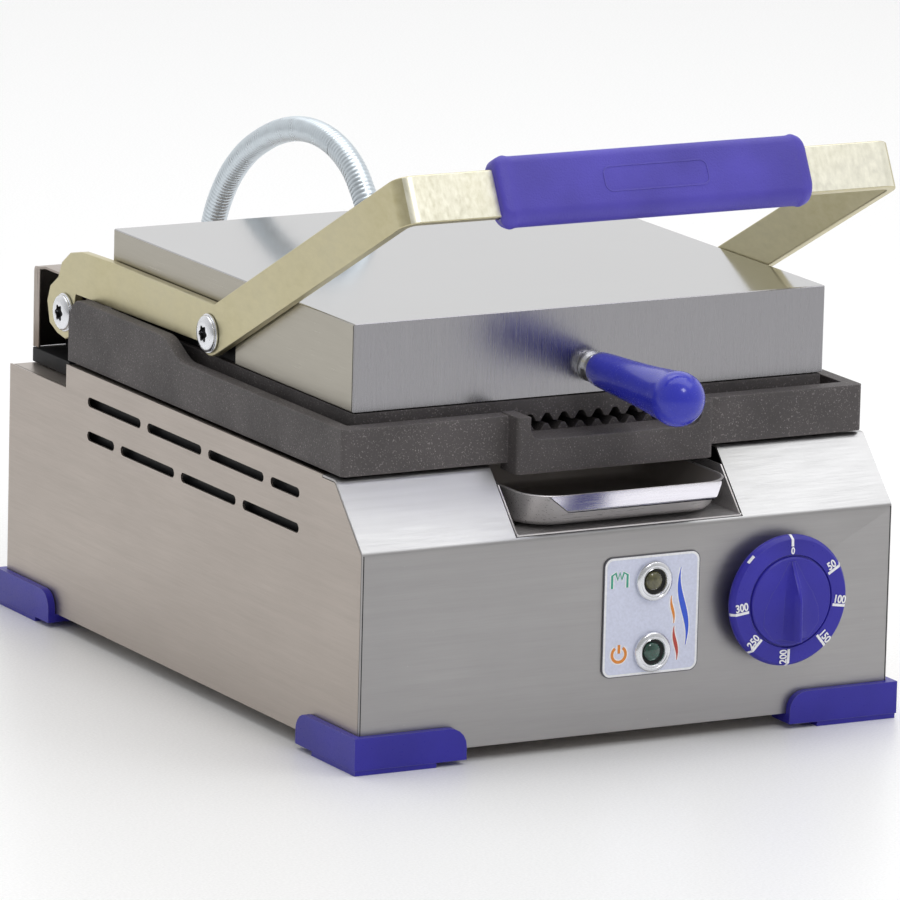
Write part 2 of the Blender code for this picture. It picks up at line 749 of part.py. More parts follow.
def tower():
    """Cover, black base channel, brackets, bushes, shaft and the two counterbalance springs."""
    path = fillet([(TOWER_FRONT, 0.1420), (TOWER_FRONT, TOWER_TOP), (TOWER_BACK, TOWER_TOP),
                   (TOWER_BACK, TOWER_BASE_Z + GAP)], 0.003)
    outline = sheet_outline(path)
    cover = part("tower_cover", "side_steel", "housing",
                 lambda bm: prism(bm, outline, "x", -TOWER_HALF, TOWER_HALF), smooth_deg=50)
    for side in (-1, 1):
        low_x, high_x = sorted((side * TOWER_INNER_HALF, side * 0.2))
        cut(cover, bar((low_x, 0.33, 0.12), (high_x, 0.3985, 0.2)))
        low_x, high_x = sorted((side * (TOWER_HALF - 0.0014), side * (TOWER_HALF - 0.0002)))
        join(cover, bar((low_x, 0.3988, 0.1345), (high_x, TOWER_BACK - 0.0006, TOWER_TOP - 0.0004)))

    base = rectangle((-TOWER_HALF, 0.3610), (TOWER_HALF, 0.4056))
    part("hinge_base", "black_steel", "housing",
         lambda bm: pan(bm, base, base, REAR_DECK_Z + GAP, TOWER_BASE_Z, 0.002))

    shaft_y, shaft_z = REAR_PIVOT.y, REAR_PIVOT.z
    for label, side in (("left", -1), ("right", 1)):
        foot_z = TOWER_BASE_Z + GAP
        cheek = [(0.3625, foot_z), (0.3980, foot_z), (0.3980, 0.1405)]
        cheek += arc((shaft_y, shaft_z), 0.0125, -20, 190, 10)
        bracket = part(f"hinge_bracket_{label}", "black_steel", "housing",
                       lambda bm: prism(bm, cheek, "x", side * 0.1220, side * 0.1260))
        low_x, high_x = sorted((side * 0.1050, side * 0.1240))
        join(bracket, bar((low_x, 0.3627, foot_z + 0.0001), (high_x, 0.3978, foot_z + 0.003)))
        cut(bracket, rod("x", (0, shaft_y, shaft_z), 0.0086, -0.2, 0.2))
        ring = [(0.0064, side * 0.1204), (0.0100, side * 0.1204), (0.0100, side * 0.1216),
                (0.0082, side * 0.1216), (0.0082, side * 0.1280), (0.0064, side * 0.1280)]
        part(f"shaft_bush_{label}", "bronze", "housing",
             lambda bm: turned(bm, ring, "x", (0, shaft_y, shaft_z), 16), smooth_deg=40)
        coil = []
        turns, per_turn, pitch = 7, 10, 0.0058
        for i in range(turns * per_turn + 1):
            angle = 2 * math.pi * i / per_turn
            coil.append((side * (0.070 + pitch * i / per_turn), shaft_y + 0.0110 * math.cos(angle),
                         shaft_z + 0.0110 * math.sin(angle)))
        part(f"counter_spring_{label}", "spring_steel", "housing",
             lambda bm: sweep(bm, coil, 0.0014, 4), smooth_deg=80)
        bolt(f"hinge_bolt_{label}", REAR_PIVOT, side, "rear_pivot", YOKE_HALF - BAR_THICK + 0.0002)
    part("hinge_shaft", "fastener_zinc", "rear_pivot",
         rod("x", (0, shaft_y, shaft_z), 0.0060, -0.1386, 0.1386), smooth_deg=40)


# ---------------------------------------------------------------- yoke and grip

def yoke_axes():
    """Unit vectors in the side view: towards the crossbar, and across the bar's width."""
    along = Vector((0, -math.cos(YOKE_RISE), math.sin(YOKE_RISE)))
    across = Vector((0, math.sin(YOKE_RISE), math.cos(YOKE_RISE)))
    return along, across


def yoke_side_outline():
    """Side view of one arm in (y, z), from its lower front end round the rear to its upper one."""
    along, across = yoke_axes()
    start = CROSSBAR + along * (BAR_THICK / 2 - CORNER_RADIUS)
    lower = start - across * BAR_WIDTH / 2
    upper = start + across * BAR_WIDTH / 2
    boss = arc((LID_PIVOT.y, LID_PIVOT.z), BOSS_RADIUS, 242, 327, 6)
    hook = [(0.3512, UNDERSIDE_Z - 0.0007), (0.3540, 0.1620), (0.3552, 0.1492), (0.3625, 0.1461),
            (0.3723, 0.1476), (0.3817, 0.1515), (0.3850, 0.1632), (0.3816, 0.1721), (0.3722, 0.1785),
            (0.3680, 0.1873), (0.3582, 0.1940), (0.3445, ARM_TOP_Z - 0.0009), (0.312, ARM_TOP_Z)]
    bend = upper - along * ((upper.z - ARM_TOP_Z) / along.z)
    return [(lower.y, lower.z)] + boss + hook + [(bend.y, bend.z), (upper.y, upper.z)]


def lift_yoke():
    """Two flat arms and the crossbar, bent from one bar; the arms have holes for their pivots."""
    along, across = yoke_axes()
    outline = yoke_side_outline()

    def shape(bm):
        ends = {}
        for side in (-1, 1):
            outer = [bm.verts.new((side * YOKE_HALF, y, z)) for y, z in outline]
            inner = [bm.verts.new((side * (YOKE_HALF - BAR_THICK), y, z)) for y, z in outline]
            bm.faces.new(outer)
            bm.faces.new(inner)
            for i in range(len(outline) - 1):
                bm.faces.new((outer[i], outer[i + 1], inner[i + 1], inner[i]))
            ends[side] = [outer[0], outer[-1], inner[-1], inner[0]]
        rows = [ends[-1]]
        steps = 5
        centre_s = BAR_THICK / 2 - CORNER_RADIUS
        bend = []
        for k in range(1, steps + 1):
            angle = math.pi / 2 * k / steps
            for_ring = []
            for radius, edge in ((CORNER_RADIUS, -1), (CORNER_RADIUS, 1),
                                 (CORNER_RADIUS - BAR_THICK, 1), (CORNER_RADIUS - BAR_THICK, -1)):
                x = -YOKE_HALF + CORNER_RADIUS - radius * math.cos(angle)
                s = centre_s + radius * math.sin(angle)
                for_ring.append((x, CROSSBAR + along * s + across * (edge * BAR_WIDTH / 2)))
            bend.append(for_ring)
        for mirror, rings in ((1, bend), (-1, list(reversed(bend)))):
            for ring in rings:
                rows.append([bm.verts.new((mirror * x, p.y, p.z)) for x, p in ring])
        rows.append(ends[1])
        for row, following in zip(rows, rows[1:]):
            for i in range(4):
                j = (i + 1) % 4
                bm.faces.new((row[i], row[j], following[j], following[i]))

    yoke = part("lift_yoke", "zinc_yellow", "rear_pivot", shape)
    for pivot in (REAR_PIVOT, LID_PIVOT):
        cut(yoke, rod("x", (0, pivot.y, pivot.z), BOLT_RADIUS + 0.0004, -0.2, 0.2, 12))
    soften(yoke, 0.0005)


def grip():
    """A moulded sleeve on the crossbar, with a collar at each end."""
    along, across = yoke_axes()
    half_wide, half_thick = 0.0190, 0.0080
    stations = [(-GRIP_HALF, 0.94), (0.0015 - GRIP_HALF, 1.0), (0.0055 - GRIP_HALF, 1.0),
                (0.0062 - GRIP_HALF, 0.95), (GRIP_HALF - 0.0062, 0.95), (GRIP_HALF - 0.0055, 1.0),
                (GRIP_HALF - 0.0015, 1.0), (GRIP_HALF, 0.94)]

    def shape(bm):
        rings = []
        for x, scale in stations:
            section = rounded_rectangle((-half_wide * scale, -half_thick * scale),
                                        (half_wide * scale, half_thick * scale),
                                        (0.0072, 0.0052, 0.0052, 0.0072), 4)
            rings.append([Vector((x, 0, 0)) + CROSSBAR + across * u + along * v
                          for u, v in section])
        loft(bm, rings)

    sleeve = part("grip", "violet_sleeve", "rear_pivot", shape, smooth_deg=40)

    def slot(bm):
        wide, thick = BAR_WIDTH / 2 + 0.0004, BAR_THICK / 2 + 0.0004
        section = rectangle((-wide, -thick), (wide, thick))
        loft(bm, [[Vector((x, 0, 0)) + CROSSBAR + across * u + along * v for u, v in section]
                  for x in (-0.11, 0.11)])

    cut(sleeve, slot)


# ---------------------------------------------------------------- lid

def lid_cover():
    """A deep-drawn box, open below, whose sides step up behind the pivots."""
    cover = part("lid_cover", "bright_steel", "lid_pivot",
                 bar((-LID_HALF, LID_FRONT, LID_SKIRT), (LID_HALF, LID_BACK, LID_TOP)))
    wall = 0.0014
    cut(cover, bar((-LID_HALF + wall, LID_FRONT + wall, 0.15),
                   (LID_HALF - wall, LID_BACK - wall, LID_TOP - wall)))
    for side in (-1, 1):
        low_x, high_x = sorted((side * (LID_HALF - 0.003), side * 0.2))
        cut(cover, bar((low_x, LID_STEP_Y, 0.15), (high_x, LID_BACK - 0.008, LID_STEP_Z)))
    cut(cover, rod("z", (CONDUIT_X, CONDUIT_LID_Y, LID_TOP), 0.0082, -0.01, 0.01))
    cut(cover, rod("y", (0, LID_FRONT, HANDLE_Z), 0.0040, -0.01, 0.01, 12))
    soften(cover, 0.0005)


def upper_plate():
    """The ribbed casting that closes into the lower plate's rim."""
    ribs = rib_profile(UPPER_HALF, UPPER_BOTTOM + 0.004, UPPER_BOTTOM, UPPER_TOP)
    part("upper_plate", "cast_iron", "lid_pivot",
         lambda bm: prism(bm, ribs, "y", LID_FRONT + 0.0003, LID_BACK - 0.0003))


def lid_fittings():
    """Pivot ears, their spacers and nuts, the front handle with its stud, the conduit's gland."""
    pivot = (0, LID_PIVOT.y, LID_PIVOT.z)
    for label, side in (("left", -1), ("right", 1)):
        floor_z = UPPER_TOP + GAP
        outline = [(0.1790, floor_z), (0.3070, floor_z), (0.3070, 0.1990), (0.3000, 0.2040),
                   (0.1860, 0.2040), (0.1790, 0.1970)]
        ear = part(f"pivot_ear_{label}", "black_steel", "lid_pivot",
                   lambda bm: prism(bm, outline, "x", side * 0.1310, side * 0.1350))
        low_x, high_x = sorted((side * 0.1200, side * 0.1330))
        join(ear, bar((low_x, 0.1792, floor_z + 0.0001), (high_x, 0.3068, floor_z + 0.0026)))
        cut(ear, rod("x", pivot, BOLT_RADIUS + 0.0004, -0.2, 0.2, 16))
        spacer = [(BOLT_RADIUS + 0.0004, side * 0.1354), (0.0090, side * 0.1354),
                  (0.0090, side * 0.1386), (BOLT_RADIUS + 0.0004, side * 0.1386)]
        part(f"pivot_spacer_{label}", "bronze", "lid_pivot",
             lambda bm: turned(bm, spacer, "x", pivot, 14), smooth_deg=40)
        bolt(f"pivot_bolt_{label}", LID_PIVOT, side, "lid_pivot", 0.1245)
        nut = [(BOLT_RADIUS + 0.0010, side * 0.1306), (0.0075, side * 0.1306),
               (0.0075, side * 0.1252), (BOLT_RADIUS + 0.0010, side * 0.1252)]
        part(f"pivot_nut_{label}", "fastener_zinc", "lid_pivot",
             lambda bm: turned(bm, nut, "x", pivot, 6))

    stud = [(0, 0.0505), (0.0034, 0.0505), (0.0034, 0.0456), (0.0078, 0.0456), (0.0082, 0.0446),
            (0.0070, 0.0420), (0.0066, 0.0376), (0.0034, 0.0376), (0.0034, 0.0300), (0, 0.0300)]
    part("peg_stud", "fastener_zinc", "lid_pivot",
         lambda bm: turned(bm, stud, "y", (0, 0, HANDLE_Z), 16), smooth_deg=40)
    ball_y, ball_radius = HANDLE_TIP_Y + 0.0142, 0.0142
    peg = [(0.0038, 0.0290), (0.0038, 0.0372), (0.0088, 0.0372), (0.0095, 0.0350),
           (0.0100, 0.0150), (0.0112, -0.0100), (0.0127, -0.0300)]
    for i in range(1, 7):
        angle = math.radians(-8 + 98 * i / 6)
        peg.append((ball_radius * max(math.cos(angle), 0.0), ball_y - ball_radius * math.sin(angle)))
    peg[-1] = (0, HANDLE_TIP_Y)
    peg.append((0, 0.0290))
    part("peg_handle", "blue_plastic", "lid_pivot",
         lambda bm: turned(bm, peg, "y", (0, 0, HANDLE_Z), 20), smooth_deg=40)

    gland = [(0.0094, 0.0003), (0.0135, 0.0003), (0.0135, 0.0034), (0.0120, 0.0048),
             (0.0094, 0.0048)]
    part("conduit_gland_lid", "fastener_zinc", "lid_pivot",
         lambda bm: turned(bm, gland, "z", (CONDUIT_X, CONDUIT_LID_Y, LID_TOP), 20), smooth_deg=40)


# ---------------------------------------------------------------- wiring

def conduit():
    """The armoured lead's route in its own vertical plane, from the rear panel over to the lid."""
    side_view = [(0.4085, CONDUIT_REAR_Z), (0.422, CONDUIT_REAR_Z), (0.437, 0.1085), (0.452, 0.1165),
                 (0.4635, 0.130), (0.469, 0.148), (0.4685, 0.168), (0.462, 0.1885), (0.4475, 0.2095),
                 (0.4285, 0.226), (0.408, 0.2375), (0.3865, 0.246), (0.364, 0.251), (0.342, 0.2518),
                 (0.321, 0.248), (0.3035, 0.2398), (0.2915, 0.2285), (0.286, 0.2205),
                 (CONDUIT_LID_Y, LID_TOP + 0.0008)]
    route = smooth_route([(CONDUIT_X, y, z) for y, z in side_view], 2)
    curve = bpy.data.curves.new("conduit", "CURVE")
    curve.dimensions = "3D"
    curve.bevel_depth = CONDUIT_RADIUS
    curve.bevel_resolution = 3
    curve.use_fill_caps = True
    spline = curve.splines.new("POLY")
    spline.points.add(len(route) - 1)
    for point, place in zip(spline.points, route):
        point.co = (*place, 1.0)
    curve.materials.append(finish_material("conduit_zinc"))
    obj = bpy.data.objects.new("conduit", curve)
    bpy.context.scene.collection.objects.link(obj)
    obj.parent = EMPTIES["housing"][0]


def rear_fittings():
    gland = [(0.0078, -0.0060), (0.0090, -0.0060), (0.0090, 0.0004), (0.0130, 0.0004),
             (0.0130, 0.0100), (0.0112, 0.0116), (0.0078, 0.0116)]
    part("conduit_gland_rear", "fastener_zinc", "housing",
         lambda bm: turned(bm, gland, "y", (CONDUIT_X, DEPTH, CONDUIT_REAR_Z), 20), smooth_deg=40)
    inlet = [(0.0, -0.0080), (0.0080, -0.0080), (0.0080, 0.0004), (0.0125, 0.0004),
             (0.0125, 0.0060), (0.0095, 0.0180), (0.0050, 0.0180), (0.0050, -0.0040), (0.0, -0.0040)]
    part("cable_gland", "black_plastic", "housing",
         lambda bm: turned(bm, inlet, "y", (GLAND_X, DEPTH, GLAND_Z), 20), smooth_deg=40)
    block_low, block_high = (-0.130, 0.340, 0.012), (-0.085, 0.362, 0.032)
    terminals = part("terminal_block", "ceramic", "housing", bar(block_low, block_high))

    def screw_wells(bm):
        for k in range(3):
            rod("z", (-0.1215 + 0.014 * k, 0.351, 0.032), 0.003, -0.008, 0.004, 10)(bm)

    cut(terminals, screw_wells)


# ---------------------------------------------------------------- assembly

def build():
    clear_scene()
    make_empty("housing", (0, FRONT_FACE_Y, FOOT_DROP))
    make_empty("rear_pivot", REAR_PIVOT, "housing")
    make_empty("lid_pivot", LID_PIVOT, "rear_pivot")
    make_empty("tray_slide", (0, TRAY_FRONT, TRAY_RIM), "housing")
    make_empty("knob_axis", KNOB_CENTRE, "housing")
    side_panel("side_panel_left", -1)
    side_panel("side_panel_right", 1)
    vent_screen("vent_screen_left", -1)
    vent_screen("vent_screen_right", 1)
    front_panel()
    rear_panel()
    rear_deck()
    base_plate()
    for label, side in (("left", -1), ("right", 1)):
        corner_foot(f"corner_foot_front_{label}", side, back=False)
        corner_foot(f"corner_foot_rear_{label}", side, back=True)
    lower_plate()
    heating()
    tray_chute()
    drip_tray()
    label_and_lamps()
    thermostat()
    thermostat_knob()
    tower()
    lift_yoke()
    grip()
    lid_cover()
    upper_plate()
    lid_fittings()
    conduit()
    rear_fittings()


build()
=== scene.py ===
"""Looks of the panini press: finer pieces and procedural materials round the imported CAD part.

Metres, in the part's own frame: +Z up, the front faces -Y. Outlines use housing coordinates, which
start at the front face and the housing's bottom edge, and at() carries them to the part's frame.
"""
import json
import math

import bmesh
import bpy
from mathutils import Matrix, Vector


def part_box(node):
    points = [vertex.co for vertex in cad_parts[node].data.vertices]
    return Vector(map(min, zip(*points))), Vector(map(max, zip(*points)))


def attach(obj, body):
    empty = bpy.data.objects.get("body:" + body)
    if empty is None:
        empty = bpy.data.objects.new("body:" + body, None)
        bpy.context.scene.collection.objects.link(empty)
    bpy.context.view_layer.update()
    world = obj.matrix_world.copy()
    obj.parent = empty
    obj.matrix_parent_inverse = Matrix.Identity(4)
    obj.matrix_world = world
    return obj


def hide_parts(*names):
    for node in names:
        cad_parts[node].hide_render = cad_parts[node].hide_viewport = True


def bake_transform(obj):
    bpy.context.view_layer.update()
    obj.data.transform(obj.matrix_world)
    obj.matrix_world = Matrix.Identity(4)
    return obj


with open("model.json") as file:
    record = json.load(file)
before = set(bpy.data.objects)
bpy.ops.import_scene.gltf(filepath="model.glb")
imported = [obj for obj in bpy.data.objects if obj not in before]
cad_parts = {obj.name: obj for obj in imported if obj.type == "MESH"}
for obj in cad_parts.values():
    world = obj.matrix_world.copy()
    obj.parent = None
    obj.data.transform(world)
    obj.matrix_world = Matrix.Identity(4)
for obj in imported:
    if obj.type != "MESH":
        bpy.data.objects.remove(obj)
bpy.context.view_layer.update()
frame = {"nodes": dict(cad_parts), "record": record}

# ---------------------------------------- places taken from the frame

FRONT_LOW, FRONT_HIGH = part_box("front_panel")
HOUSING = Vector((0.0, FRONT_LOW.y, FRONT_LOW.z))
HALF_WIDTH = FRONT_HIGH.x
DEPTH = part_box("side_panel_left")[1].y - HOUSING.y


def at(x, y, z):
    """A point in the part's frame from housing coordinates."""
    return HOUSING + Vector((x, y, z))


def centre_of(node_name):
    low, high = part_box(node_name)
    return (low + high) / 2


def new_object(name, data):
    made = bpy.data.objects.new(name, data)
    bpy.context.scene.collection.objects.link(made)
    return made


def smooth(mesh, sharp_deg):
    """Smooth shading with sharp edges from an angle on."""
    mesh.shade_smooth()
    mesh.set_sharp_from_angle(angle=math.radians(sharp_deg))


# ---------------------------------------- camera, light and floor

CAMERA_PLACE = Vector((-2.31167, -4.21916, 1.15655))
CAMERA_YAW = math.radians(-28.81)
CAMERA_PITCH = math.radians(12.245)
CAMERA_ROLL = math.radians(1.451)
CAMERA_LENS = 372.2
SENSOR_WIDTH = 36.0
CAMERA_REACH = (0.1, 60.0)
FLOOR_SIZE = 14.0
# the world brightens along a direction, from dark at -span to bright at +span
BRIGHT_SIDE = (0.60, 0.80, 0.0)
WORLD_DARK, WORLD_BRIGHT = 0.42, 1.0
WORLD_SPAN = 0.9


def make_camera():
    """A long lens turned by yaw, pitch and a small roll."""
    forward = Vector((-math.sin(CAMERA_YAW) * math.cos(CAMERA_PITCH),
                      math.cos(CAMERA_YAW) * math.cos(CAMERA_PITCH), -math.sin(CAMERA_PITCH)))
    level = forward.cross(Vector((0, 0, 1))).normalized()
    upward = level.cross(forward)
    right = math.cos(CAMERA_ROLL) * level + math.sin(CAMERA_ROLL) * upward
    up = -math.sin(CAMERA_ROLL) * level + math.cos(CAMERA_ROLL) * upward
    data = bpy.data.cameras.new("camera")
    data.lens = CAMERA_LENS
    data.sensor_width = SENSOR_WIDTH
    data.clip_start, data.clip_end = CAMERA_REACH
    camera = new_object("camera", data)
    turned_frame = Matrix((right, up, -forward)).transposed().to_4x4()
    camera.matrix_world = Matrix.Translation(CAMERA_PLACE) @ turned_frame
    bpy.context.scene.camera = camera


def softbox(name, place, target, side, watts):
    """A square area light aimed at a point."""
    data = bpy.data.lights.new(name, "AREA")
    data.shape = "RECTANGLE"
    data.size = side
    data.size_y = side
    data.energy = watts
    lamp = new_object(name, data)
    lamp.location = place
    lamp.rotation_euler = (Vector(place) - Vector(target)).to_track_quat("Z", "Y").to_euler()


def make_world():
    """A pale studio, brightest behind the part and to its right."""
    world = bpy.data.worlds.new("studio")
    bpy.context.scene.world = world
    world.use_nodes = True
    direction = node(world, "ShaderNodeTexCoord").outputs["Generated"]
    along = node(world, "ShaderNodeVectorMath", {0: direction, 1: BRIGHT_SIDE},
                 operation="DOT_PRODUCT").outputs["Value"]
    strength = spread(world, along, -WORLD_SPAN, WORLD_SPAN, WORLD_DARK, WORLD_BRIGHT)
    background = world.node_tree.nodes["Background"]
    background.inputs["Color"].default_value = (1.0, 1.0, 1.0, 1.0)
    world.node_tree.links.new(strength, background.inputs["Strength"])


def make_floor(material):
    bm = bmesh.new()
    half = FLOOR_SIZE / 2
    bm.faces.new([bm.verts.new((x, y, 0.0)) for x, y in
                  ((-half, -half), (half, -half), (half, half), (-half, half))])
    mesh = bpy.data.meshes.new("floor")
    bm.to_mesh(mesh)
    bm.free()
    floor = new_object("floor", mesh)
    mesh.materials.append(material)


# ---------------------------------------- material tools

def plain(name, colour, roughness, metallic=0.0, sockets=None):
    """A Principled material with constant values on its own sockets."""
    material = bpy.data.materials.new(name)
    material.use_nodes = True
    shader = material.node_tree.nodes["Principled BSDF"]
    settings = {"Base Color": (*colour, 1.0), "Roughness": roughness, "Metallic": metallic}
    settings.update(sockets or {})
    for socket, value in settings.items():
        shader.inputs[socket].default_value = value
    return material


def node(material, kind, inputs=None, **properties):
    """A new node in a material or the world; an input given as a socket is linked."""
    made = material.node_tree.nodes.new(kind)
    for key, value in properties.items():
        setattr(made, key, value)
    for key, value in (inputs or {}).items():
        if isinstance(value, bpy.types.NodeSocket):
            material.node_tree.links.new(value, made.inputs[key])
        else:
            made.inputs[key].default_value = value
    return made


def feed(material, socket, source):
    shader = material.node_tree.nodes["Principled BSDF"]
    material.node_tree.links.new(source, shader.inputs[socket])


def position(material, scale=(1.0, 1.0, 1.0)):
    """The piece's own coordinates in metres, stretched by the scale."""
    coordinates = node(material, "ShaderNodeTexCoord")
    stretch = node(material, "ShaderNodeMapping", {"Vector": coordinates.outputs["Object"],
                                                   "Scale": scale})
    return stretch.outputs[0]


def clouds(material, frequency, stretch=(1.0, 1.0, 1.0), detail=3.0, roughness=0.5):
    """Noise with frequency cells per metre, in coordinates scaled by stretch."""
    texture = node(material, "ShaderNodeTexNoise",
                   {"Vector": position(material, stretch), "Scale": frequency, "Detail": detail,
                    "Roughness": roughness})
    return texture.outputs[0]


def specks(material, frequency, stretch=(1.0, 1.0, 1.0)):
    """Distance to the nearest of many scattered points."""
    texture = node(material, "ShaderNodeTexVoronoi",
                   {"Vector": position(material, stretch), "Scale": frequency})
    return texture.outputs["Distance"]


def spread(material, source, low, high, to_low=0.0, to_high=1.0):
    """The source's range low..high mapped to another one, clamped."""
    return node(material, "ShaderNodeMapRange",
                {"Value": source, "From Min": low, "From Max": high, "To Min": to_low,
                 "To Max": to_high}).outputs[0]


def mixed(material, factor, first, second):
    """A colour between two, each a socket or an RGB triple."""
    blend = node(material, "ShaderNodeMix", data_type="RGBA")
    tree = material.node_tree
    tree.links.new(factor, blend.inputs[0])
    for index, value in ((6, first), (7, second)):
        if isinstance(value, bpy.types.NodeSocket):
            tree.links.new(value, blend.inputs[index])
        else:
            blend.inputs[index].default_value = (*value, 1.0)
    return blend.outputs[2]


def relief(material, height, strength, distance, under=None):
    """Bump from a height; under is the normal it adds to."""
    inputs = {"Height": height, "Strength": strength, "Distance": distance}
    if under is not None:
        inputs["Normal"] = under
    return node(material, "ShaderNodeBump", inputs).outputs[0]


# agreement of the true and the rounded normal on a sharp edge and on a flat
ON_EDGE, ON_FLAT = 0.55, 0.98


def edges(material, radius):
    """1 on sharp edges and 0 on flats, found by rounding the normals over the radius."""
    rounded = node(material, "ShaderNodeBevel", {"Radius": radius}, samples=4)
    facing = node(material, "ShaderNodeNewGeometry")
    alike = node(material, "ShaderNodeVectorMath", {0: rounded.outputs[0],
                                                    1: facing.outputs["Normal"]},
                 operation="DOT_PRODUCT")
    return spread(material, alike.outputs["Value"], ON_EDGE, ON_FLAT, 1.0, 0.0)


def bump(material, height, strength, distance, under=None):
    feed(material, "Normal", relief(material, height, strength, distance, under))


def vary_roughness(material, source, smoothest, roughest):
    feed(material, "Roughness", spread(material, source, 0.3, 0.7, smoothest, roughest))


def vary_tone(material, source, low, high, colour, darkest, lightest):
    """The base colour scaled between two factors over a range of the source."""
    feed(material, "Base Color", mixed(material, spread(material, source, low, high),
                                       scaled(colour, darkest), scaled(colour, lightest)))


def multiplied(material, a, b):
    return node(material, "ShaderNodeMath", {0: a, 1: b}, operation="MULTIPLY").outputs[0]


def scaled(colour, factor):
    return tuple(min(1.0, c * factor) for c in colour)


# ---------------------------------------- materials

# scales that draw noise out into lines along one axis
ALONG = {"x": (0.03, 1.0, 1.0), "y": (1.0, 0.03, 1.0), "z": (1.0, 1.0, 0.03)}


def brushed(name, colour, roughness, along, wear=0.04, grain=0.08, metallic=1.0):
    """Sheet steel: fine lines along one axis, soft clouds, faint smudges and small nicks."""
    material = plain(name, colour, roughness, metallic)
    lines = clouds(material, 1500.0, ALONG[along], 4.0, 0.6)
    bands = clouds(material, 260.0, ALONG[along], 3.0, 0.6)
    smudges = clouds(material, 14.0, detail=4.0)
    nicks = spread(material, specks(material, 95.0), 0.0, 0.035, 1.0, 0.0)
    toned = mixed(material, spread(material, bands, 0.3, 0.7), scaled(colour, 1.0 - wear),
                  scaled(colour, 1.0 + wear))
    clouded = mixed(material, spread(material, smudges, 0.35, 0.7), toned,
                    scaled(colour, 1.0 - 1.2 * wear))
    feed(material, "Base Color", mixed(material, multiplied(material, nicks, smudges), clouded,
                                       scaled(colour, 1.7)))
    vary_roughness(material, lines, roughness * 0.85, roughness * 1.2)
    bump(material, lines, grain, 0.0002)
    return material


def iron(name, colour):
    """Enamelled cast iron: sandy relief, pale speckle, slightly polished edges."""
    material = plain(name, colour, 0.6, 0.0, {"Specular IOR Level": 0.42})
    sand = clouds(material, 900.0, detail=5.0, roughness=0.65)
    dents = clouds(material, 170.0, detail=3.0)
    patches = clouds(material, 26.0, detail=4.0)
    speckle = spread(material, clouds(material, 1250.0, detail=2.0), 0.60, 0.74)
    body = mixed(material, spread(material, patches, 0.35, 0.65), scaled(colour, 0.82),
                 scaled(colour, 1.18))
    body = mixed(material, multiplied(material, speckle, patches), body, scaled(colour, 5.5))
    worn = multiplied(material, edges(material, 0.0016), spread(material, sand, 0.35, 0.6))
    feed(material, "Base Color", mixed(material, worn, body, scaled(colour, 2.6)))
    vary_roughness(material, sand, 0.5, 0.72)
    coarse = relief(material, dents, 0.35, 0.0008)
    bump(material, sand, 0.55, 0.0004, coarse)
    return material


def passivated(name, colour):
    """Yellow-chromated flat bar: rolled grain, cloudy tint, brighter rubbed edges."""
    material = plain(name, colour, 0.34, 0.85)
    rolled = clouds(material, 420.0, (1.0, 0.25, 0.6), 4.0, 0.6)
    tint = clouds(material, 16.0, detail=3.0)
    grit = clouds(material, 1600.0, detail=2.0)
    cloudy = mixed(material, spread(material, tint, 0.35, 0.68), colour,
                   (colour[0] * 0.98, colour[1] * 0.96, colour[2] * 0.84))
    toned = mixed(material, spread(material, rolled, 0.3, 0.75), cloudy, scaled(colour, 1.16))
    feed(material, "Base Color", mixed(material, edges(material, 0.0010), toned,
                                       (0.93, 0.92, 0.86)))
    vary_roughness(material, rolled, 0.28, 0.44)
    bump(material, grit, 0.10, 0.0002)
    return material


def moulded(name, colour, roughness, grain_height, coat=0.0):
    """Moulded thermoset: fine spark-eroded grain, faint flow marks, paler rubbed edges."""
    material = plain(name, colour, roughness, 0.0, {"Coat Weight": coat, "Coat Roughness": 0.12,
                                                    "Specular IOR Level": 0.36})
    grain = clouds(material, 1100.0, detail=3.0)
    flow = clouds(material, 22.0, detail=3.0)
    toned = mixed(material, spread(material, flow, 0.35, 0.68), scaled(colour, 0.88),
                  scaled(colour, 1.14))
    feed(material, "Base Color", mixed(material, edges(material, 0.0007), toned,
                                       tuple(c * 0.75 + 0.10 for c in colour)))
    vary_roughness(material, grain, roughness - 0.07, roughness + 0.10)
    bump(material, grain, grain_height, 0.0003)
    return material


def bright(name, colour, roughness):
    """Plated or turned metal with a fine grain and dull patches."""
    material = plain(name, colour, roughness, 1.0)
    patches = clouds(material, 120.0, detail=4.0)
    fine = clouds(material, 1800.0, detail=2.0)
    vary_tone(material, patches, 0.3, 0.7, colour, 0.9, 1.06)
    vary_roughness(material, patches, roughness * 0.8, roughness * 1.5)
    bump(material, fine, 0.10, 0.0002)
    return material


def black_paint(name, colour=(0.010, 0.010, 0.011)):
    material = plain(name, colour, 0.45, 0.0, {"Specular IOR Level": 0.2})
    peel = clouds(material, 700.0, detail=2.0)
    dust = clouds(material, 60.0, detail=5.0, roughness=0.7)
    feed(material, "Base Color", mixed(material, spread(material, dust, 0.5, 0.8), colour,
                                       scaled(colour, 3.0)))
    vary_roughness(material, dust, 0.36, 0.6)
    bump(material, peel, 0.2, 0.0003)
    return material


def printed(name, colour):
    """Ink or film with a slight unevenness."""
    material = plain(name, colour, 0.35)
    uneven = clouds(material, 700.0, detail=2.0)
    vary_tone(material, uneven, 0.3, 0.7, colour, 0.94, 1.04)
    vary_roughness(material, uneven, 0.28, 0.42)
    return material


def clear_lens(name, colour):
    """A moulded lens: tinted in depth under a glossy skin."""
    material = plain(name, colour, 0.12, 0.0, {"Coat Weight": 1.0, "Coat Roughness": 0.03,
                                               "IOR": 1.49})
    swirl = clouds(material, 300.0, detail=2.0)
    vary_tone(material, swirl, 0.35, 0.65, colour, 0.6, 1.5)
    vary_roughness(material, swirl, 0.08, 0.2)
    bump(material, swirl, 0.05, 0.0003)
    return material


